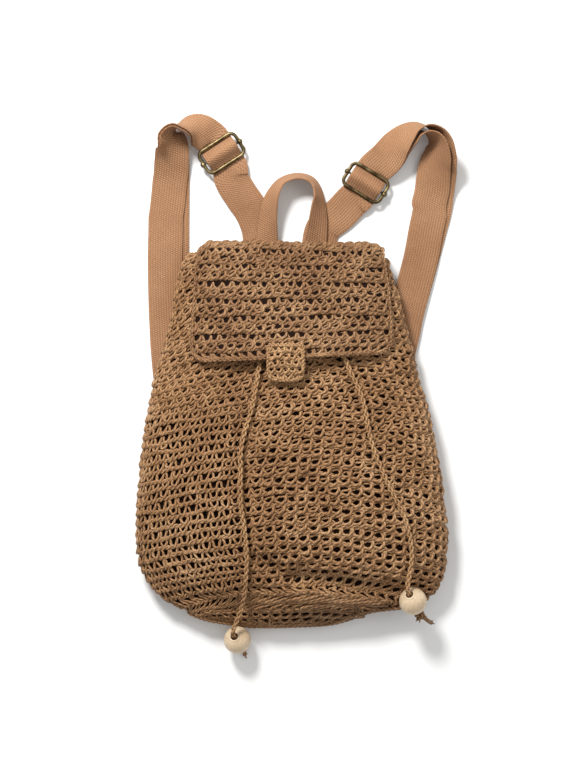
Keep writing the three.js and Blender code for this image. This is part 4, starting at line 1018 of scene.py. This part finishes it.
for side, end in CORD_ENDS.items():
    line = Spline(np.array(end["route"]) * 1000).spaced(420)
    strands = twist(line, carried(line), 1.1, 1.4, 13.0, steps=16, lift=0.4)
    cord = piece(f"cord_{side}", strands, STRAW_CORD, f"drawstring_{side}")
    axis, centre = unit(end["axis"]), np.array(end["bead"])
    turned = [lathe(centre, axis, bead_profile, 48)]
    bead = piece(f"wood_bead_{side}", turned, WOOD, f"bead_{side}")
    middle = centre - axis * KNOT_BELOW + np.array(end["knot_off"])
    frame_x, frame_y = square_to(axis)
    wound = np.cos(2 * theta) * frame_x + np.sin(2 * theta) * frame_y
    knot_line = middle + knot_width * wound + 1.7 * np.sin(3 * theta) * axis
    parts = [tube(knot_line, carried(knot_line), 1.45, 7, True)]
    for _ in range(7):
        way = unit(rng.normal(0, 1, 3) * (1.0, 1.0, 0.5))
        loose = [middle + way * s * 7.0 - UP * 1.2 * s * s for s in np.linspace(0.2, 1, 7)]
        parts.append(yarn_end(loose, 0.95, 0.4))
    tail = Spline([middle, *end["tail"]]).spaced(40)
    parts += twist(tail, carried(tail), 1.1, 1.0, 8.5, steps=8, strands=3)
    tip, way = tail[-1], unit(tail[-1] - tail[-6])
    for _ in range(11):
        spread = rng.normal(0, 0.6, 3)
        spread[2] = max(spread[2], -0.12)
        fray = [tip - way * 3 + (way * 1.6 + spread) * s * 2.2 for s in np.linspace(0, 1, 7)]
        parts.append(yarn_end(fray, 0.75, 0.3))
    knot = piece(f"cord_knot_{side}", parts, STRAW_CORD, f"knot_{side}")


# The cord through its eyelet: inward, below the neck and off the front, in cord diameters
PASSAGE = ((1.25, 4.6, 0.69), (0.42, 3.1, 0.6), (-0.42, 1.67, -0.31), (-1.46, 0.52, -1.34))


def passage(eyelet, side):
    out = []
    for inward, below, height in PASSAGE:
        x, y = eyelet - side * inward * CORD_DIAMETER, NECK_Y - below * CORD_DIAMETER
        out.append((x, y, float(front_height(x, y)) + height * CORD_DIAMETER))
    return out


neck_at = (NECK_Y + BELOW) / BODY_LENGTH
neck_belt = section(neck_at)["belt"]
hidden = [
    p for i, p in enumerate(body_ring(neck_at, NECK_INSET, TAU * np.arange(40) / 40))
    if not (0 < i < 20 and -37 < p[0] < 45 and p[2] > neck_belt)
]
start = next(i for i, p in enumerate(hidden) if p[2] > neck_belt and p[0] < EYELETS[0])
neck = passage(EYELETS[0], -1) + hidden[start:] + hidden[:start] + passage(EYELETS[1], 1)[::-1]
line = Spline(neck).spaced(600)
strands = twist(line, carried(line), 1.12, 1.25, 7.0, steps=8, lift=0.7)
piece("neck_cord", strands, STRAW_CORD, "drawstring_loop")

# Webbing

# The webbing's rounded edge: how far in and how high it is at its bend
EDGE_IN, EDGE_HIGH, EDGE_FLAT = 0.25, 0.72, 1.1


def ribbon(frames, width):
    """A band with soft edges. Its UVs are millimetres across and along."""
    half, h = width / 2, WEB / 2
    face = [(-half + EDGE_IN, EDGE_HIGH * h), (-half + EDGE_FLAT, h)]
    face += [(x * half, h) for x in (-0.45, 0.0, 0.45)]
    face += [(half - EDGE_FLAT, h), (half - EDGE_IN, EDGE_HIGH * h)]
    o = np.array([(-half, 0), *face, (half, 0), *[(x, -z) for x, z in face[::-1]]])
    p, a, n = (np.array([frame[k] for frame in frames]) for k in range(3))
    ring = p[:, None] + a[:, None] * o[None, :, :1] + n[:, None] * o[None, :, 1:]
    closings = [p[k] + (ring[[k]] - p[k]) * 0.05 for k in (0, -1)]
    ring = np.concatenate([closings[0], ring, closings[1]])
    s = along(np.concatenate([p[:1], p, p[-1:]]))
    faces, uv = quads(len(ring), len(o), s, np.append(o[:, 0], o[0, 0]))
    turned = [0, 3, 2, 1]
    return ring.reshape(-1, 3), faces[:, turned], uv[:, turned]


def plan(x, y, z):
    return np.array([x * BODY_WIDTH / 2, RIM_Y + y * BODY_LENGTH, z])


def heading(degrees):
    return np.array([cos(radians(degrees)), sin(radians(degrees)), 0.0])


LAYER = WEB + LAYER_GAP
RING_PITCH = RING_WIRE + WEB + 2 * GAP
FLOOR_LAYER = WEB / 2 + FLOOR_GAP
BAR_REACH = (SLIDER_OPENING + SLIDER_WIRE) / 2
SLIDER_LEAD = 4.5
UNDER_WIRE = SLIDER_HEIGHT - SLIDER_WIRE / 2 - LAYER_GAP - WEB / 2
BAR_WRAP = SLIDER_WIRE / 2 + GAP + WEB / 2
RING_REACH = (RING_OPENING + RING_WIRE) / 2
RING_HEIGHT = FLOOR_LAYER + WEB / 2 + GAP + RING_WIRE / 2


def flat_frames(points):
    p = np.array(points)
    t = unit(np.gradient(p, axis=0))
    out = unit(UP - t * t[:, 2:3])
    return list(zip(p, np.cross(t, out), out))


def turned_over(way, tilt, side):
    right = unit(np.cross(way, UP))
    above = np.cross(right, way)
    across = right * cos(radians(tilt)) + above * side * sin(radians(tilt))
    return across, np.cross(across, way)


def wire_turn(lower, way, across):
    """The turn round a ring's wire, from the lower layer of the webbing to the upper one."""
    frames = []
    for k in range(1, 12):
        turn = radians(-90 + 180 * k / 12)
        spoke = way * cos(turn) + UP * sin(turn)
        frames.append((lower + (UP + spoke) * RING_PITCH / 2, across, spoke))
    return frames


def strap_frames(strap):
    """Points, directions across and directions out, from the sewn end to the slider's bar."""
    sx, sy, angle = strap["slider"]
    centre, way = plan(sx, sy, SLIDER_HEIGHT), heading(angle)

    def wire_point(reach, rise=0.0):
        q = centre + way * reach
        return np.array([q[0], q[1], UNDER_WIRE + rise])

    points = [plan(x, y, FLOOR_LAYER + z * STRAP) for x, y, z in strap["root"]]
    points += [wire_point(-BAR_REACH - SLIDER_LEAD), wire_point(-BAR_REACH)]
    stations = list(Spline(points).spaced(60))
    over = (BAR_WRAP + WEB + GAP + LAYER_GAP + BAR_WRAP) / 2
    for k in range(1, 24):
        reach = BAR_REACH * (2 * k / 24 - 1)
        stations.append(wire_point(reach, over * (1 + cos(pi * reach / BAR_REACH))))
    stations.append(wire_point(BAR_REACH))
    frames = flat_frames(stations)

    side = strap["side"]
    rows = [(wire_point(BAR_REACH), 0, 0, 1), (wire_point(BAR_REACH + SLIDER_LEAD, GAP), 0, 0, 1)]
    for x, y, z, tilt, slip, apart in strap["arch"]:
        rows.append((plan(x, y, FLOOR_LAYER + z * STRAP), tilt, slip, apart))
    rows += [(plan(x, y, FLOOR_LAYER), 180, slip, 1) for x, y, slip in strap["leg"]]
    wire_y, ring_x = -RING_BELOW + RING_REACH, side * RING_SPREAD
    rows += [(np.array([ring_x, wire_y + a, FLOOR_LAYER]), 180, 0, 1) for a in (STRAP, 0)]
    route, turns = Spline([r[0] for r in rows]), Spline([r[1:] for r in rows])
    steps = 7 * (len(rows) - 1)
    doubled = []
    for k in range(steps + 1):
        t = k / steps
        point, (tilt, slip, apart), tangent = route.at(t)[0], turns.at(t)[0], route.tangent(t)[0]
        near = 1 - float(ease(point[1], wire_y + RING_WIRE, wire_y + STRAP))
        pitch = LAYER * apart + (RING_PITCH - LAYER) * near
        across, out = turned_over(tangent, min(max(tilt, 0), 180), side)
        doubled.append((point, across, out, slip * STRAP, pitch))
    frames += [f[:3] for f in doubled[1:]]
    frames += wire_turn(point, tangent, across)
    for point, across, out, slip, pitch in doubled[::-1]:
        frames.append((point - out * pitch + across * slip, across, -out))
    sideways = np.cross(way, UP)
    for share in (0.85, 0.72, 0.58, 0.45, 0.32, 0.2):
        q = centre + way * BAR_REACH * share
        q[2] = UNDER_WIRE - LAYER * float(ease(share, 0, 1))
        frames.append((q, sideways, -UP))
    for k in range(19):
        turn = radians(-90 + 225 * k / 18)
        spoke = way * -cos(turn) + UP * sin(turn)
        frames.append((centre + spoke * BAR_WRAP, sideways, spoke))
    return frames


def tab_frames(x):
    """The folded ring tab: its lower layer, the turn round the wire and its upper layer."""
    wire_y, sideways = -RING_BELOW - RING_REACH, np.array([1.0, 0.0, 0.0])

    def place(from_wire, layer):
        pitch = LAYER + (RING_PITCH - LAYER) * (1 - float(ease(from_wire, 2, RING_TAB)))
        return np.array([x, wire_y - from_wire, FLOOR_LAYER + layer * pitch])

    frames = [(place(RING_TAB * (1 - k / 10), 0), sideways, -UP) for k in range(11)]
    frames += wire_turn(place(0, 0), np.array([0.0, 1.0, 0.0]), sideways)
    return frames + [(place(RING_TAB * k / 10, 1), sideways, UP) for k in range(11)]


def wire_loop(centre, turn, length, width, wire, corner):
    half_long, half_wide = (length + wire) / 2 - corner, (width + wire) / 2 - corner
    c, s = cos(turn), sin(turn)
    line = []
    for quarter, (sx, sy) in enumerate(((1, 1), (-1, 1), (-1, -1), (1, -1))):
        for k in range(9):
            a = radians(90 * quarter + 90 * k / 8)
            x, y = sx * half_long + cos(a) * corner, sy * half_wide + sin(a) * corner
            line.append((centre[0] + x * c - y * s, centre[1] + x * s + y * c, centre[2]))
    return tube(line, np.tile(UP, (len(line), 1)), wire / 2, 12, True)


KNOB, KNOB_OUT = 2.7, 0.8
knob_profile = [(KNOB * cos(b), KNOB * sin(b)) for b in np.linspace(-1.5, 1.5, 15)]
for side, strap in STRAPS.items():
    band = ribbon(strap_frames(strap), STRAP)
    piece(f"webbing_strap_{side}", [band], WEBBING, f"strap_{side}")
    sx, sy, angle = strap["slider"]
    centre, turn = plan(sx, sy, SLIDER_HEIGHT), radians(angle - 90)
    wire = wire_loop(centre, turn, LOOP_LENGTH, LOOP_OPENING, LOOP_WIRE, LOOP_CORNER)
    piece(f"slider_loop_{side}", [wire], BRASS, f"slider_frame_{side}")
    long = heading(angle - 90)
    half = (LOOP_LENGTH + SLIDER_WIRE) / 2
    bar = np.array([centre + long * x for x in np.linspace(-half, half, 12)])
    parts = [tube(bar, np.tile(UP, (12, 1)), SLIDER_WIRE / 2, 12)]
    for out in (-half - KNOB_OUT, half + KNOB_OUT):
        parts.append(lathe(centre + long * out, np.cross(UP, long), knob_profile, 24))
    piece(f"slider_rod_{side}", parts, BRASS, f"slider_bar_{side}")
    ring_x = strap["side"] * RING_SPREAD
    ring_centre = (ring_x, -RING_BELOW, RING_HEIGHT)
    wire = wire_loop(ring_centre, 0, STRAP + 2, RING_OPENING, RING_WIRE, RING_CORNER)
    piece(f"ring_wire_{side}", [wire], BRASS, f"strap_ring_{side}")
    band = ribbon(tab_frames(ring_x), STRAP)
    piece(f"webbing_tab_{side}", [band], WEBBING, f"ring_tab_{side}")

points = []
for x, y, z, _ in HANDLE:
    points.append((x * HANDLE_SPAN / 2, RIM_Y + (y * HANDLE_RISE if y >= 0 else -HANDLE_SEWN), z))
curve = Spline(points)
ts = np.linspace(0, 1, 121)
p = curve.at(ts)
tilts = np.interp(ts * (len(HANDLE) - 1), np.arange(len(HANDLE)), [row[3] for row in HANDLE])
tilts = np.radians(tilts)[:, None]
tangent = unit(curve.tangent(ts) * (1, 1, 0))
across = np.cross(tangent, UP) * np.cos(tilts) + UP * np.sin(tilts)
p += UP * (FLOOR_LAYER + WEB + GAP + HANDLE_WIDTH / 2 * np.sin(tilts))
band = ribbon(list(zip(p, across, np.cross(across, tangent))), HANDLE_WIDTH)
piece("webbing_handle", [band], WEBBING, "handle")

# Camera, light and floor

camera_data = bpy.data.cameras.new("camera")
camera = placed("camera", camera_data)
camera.location = CAMERA_PLACE
camera_data.sensor_fit = "VERTICAL"
camera_data.sensor_height = SENSOR
camera_data.lens = SENSOR * CAMERA_PLACE[2] / VIEW_HEIGHT
camera_data.clip_start, camera_data.clip_end = 0.01, 20.0
bpy.context.scene.camera = camera

floor_mesh = bpy.data.meshes.new("floor")
floor_mesh.from_pydata([(-9, -9, 0), (9, -9, 0), (9, 9, 0), (-9, 9, 0)], [], [(0, 1, 2, 3)])
ground = placed("floor", floor_mesh)
ground.location.z = -0.0005
pale = Nodes("pale_floor", 0.9, specular=0.1)
floor_mesh.materials.append(pale.finish((0.86, 0.86, 0.85, 1)))
ground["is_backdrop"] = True

LIGHT_TARGET = Vector((0, 0, 0.03))
WORLD_STRENGTH = 0.58
world = bpy.data.worlds.new("studio")
bpy.context.scene.world = world
world.use_nodes = True
background = world.node_tree.nodes["Background"]
background.inputs["Color"].default_value = (1.0, 1.0, 1.0, 1)
background.inputs["Strength"].default_value = WORLD_STRENGTH

# Place, size and power
for name, place, size, power in (
    ("key", (-0.5, 1.1, 1.15), 0.4, 34),
    ("fill", (1.1, 0.35, 1.3), 1.2, 5),
):
    data = bpy.data.lights.new(name, "AREA")
    data.shape, data.size, data.energy = "DISK", size, power
    light = placed(name, data)
    light.location = place
    light.rotation_euler = (LIGHT_TARGET - Vector(place)).to_track_quat("-Z", "Y").to_euler()
bpy.context.scene.view_settings.view_transform = "Standard"

low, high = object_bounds()
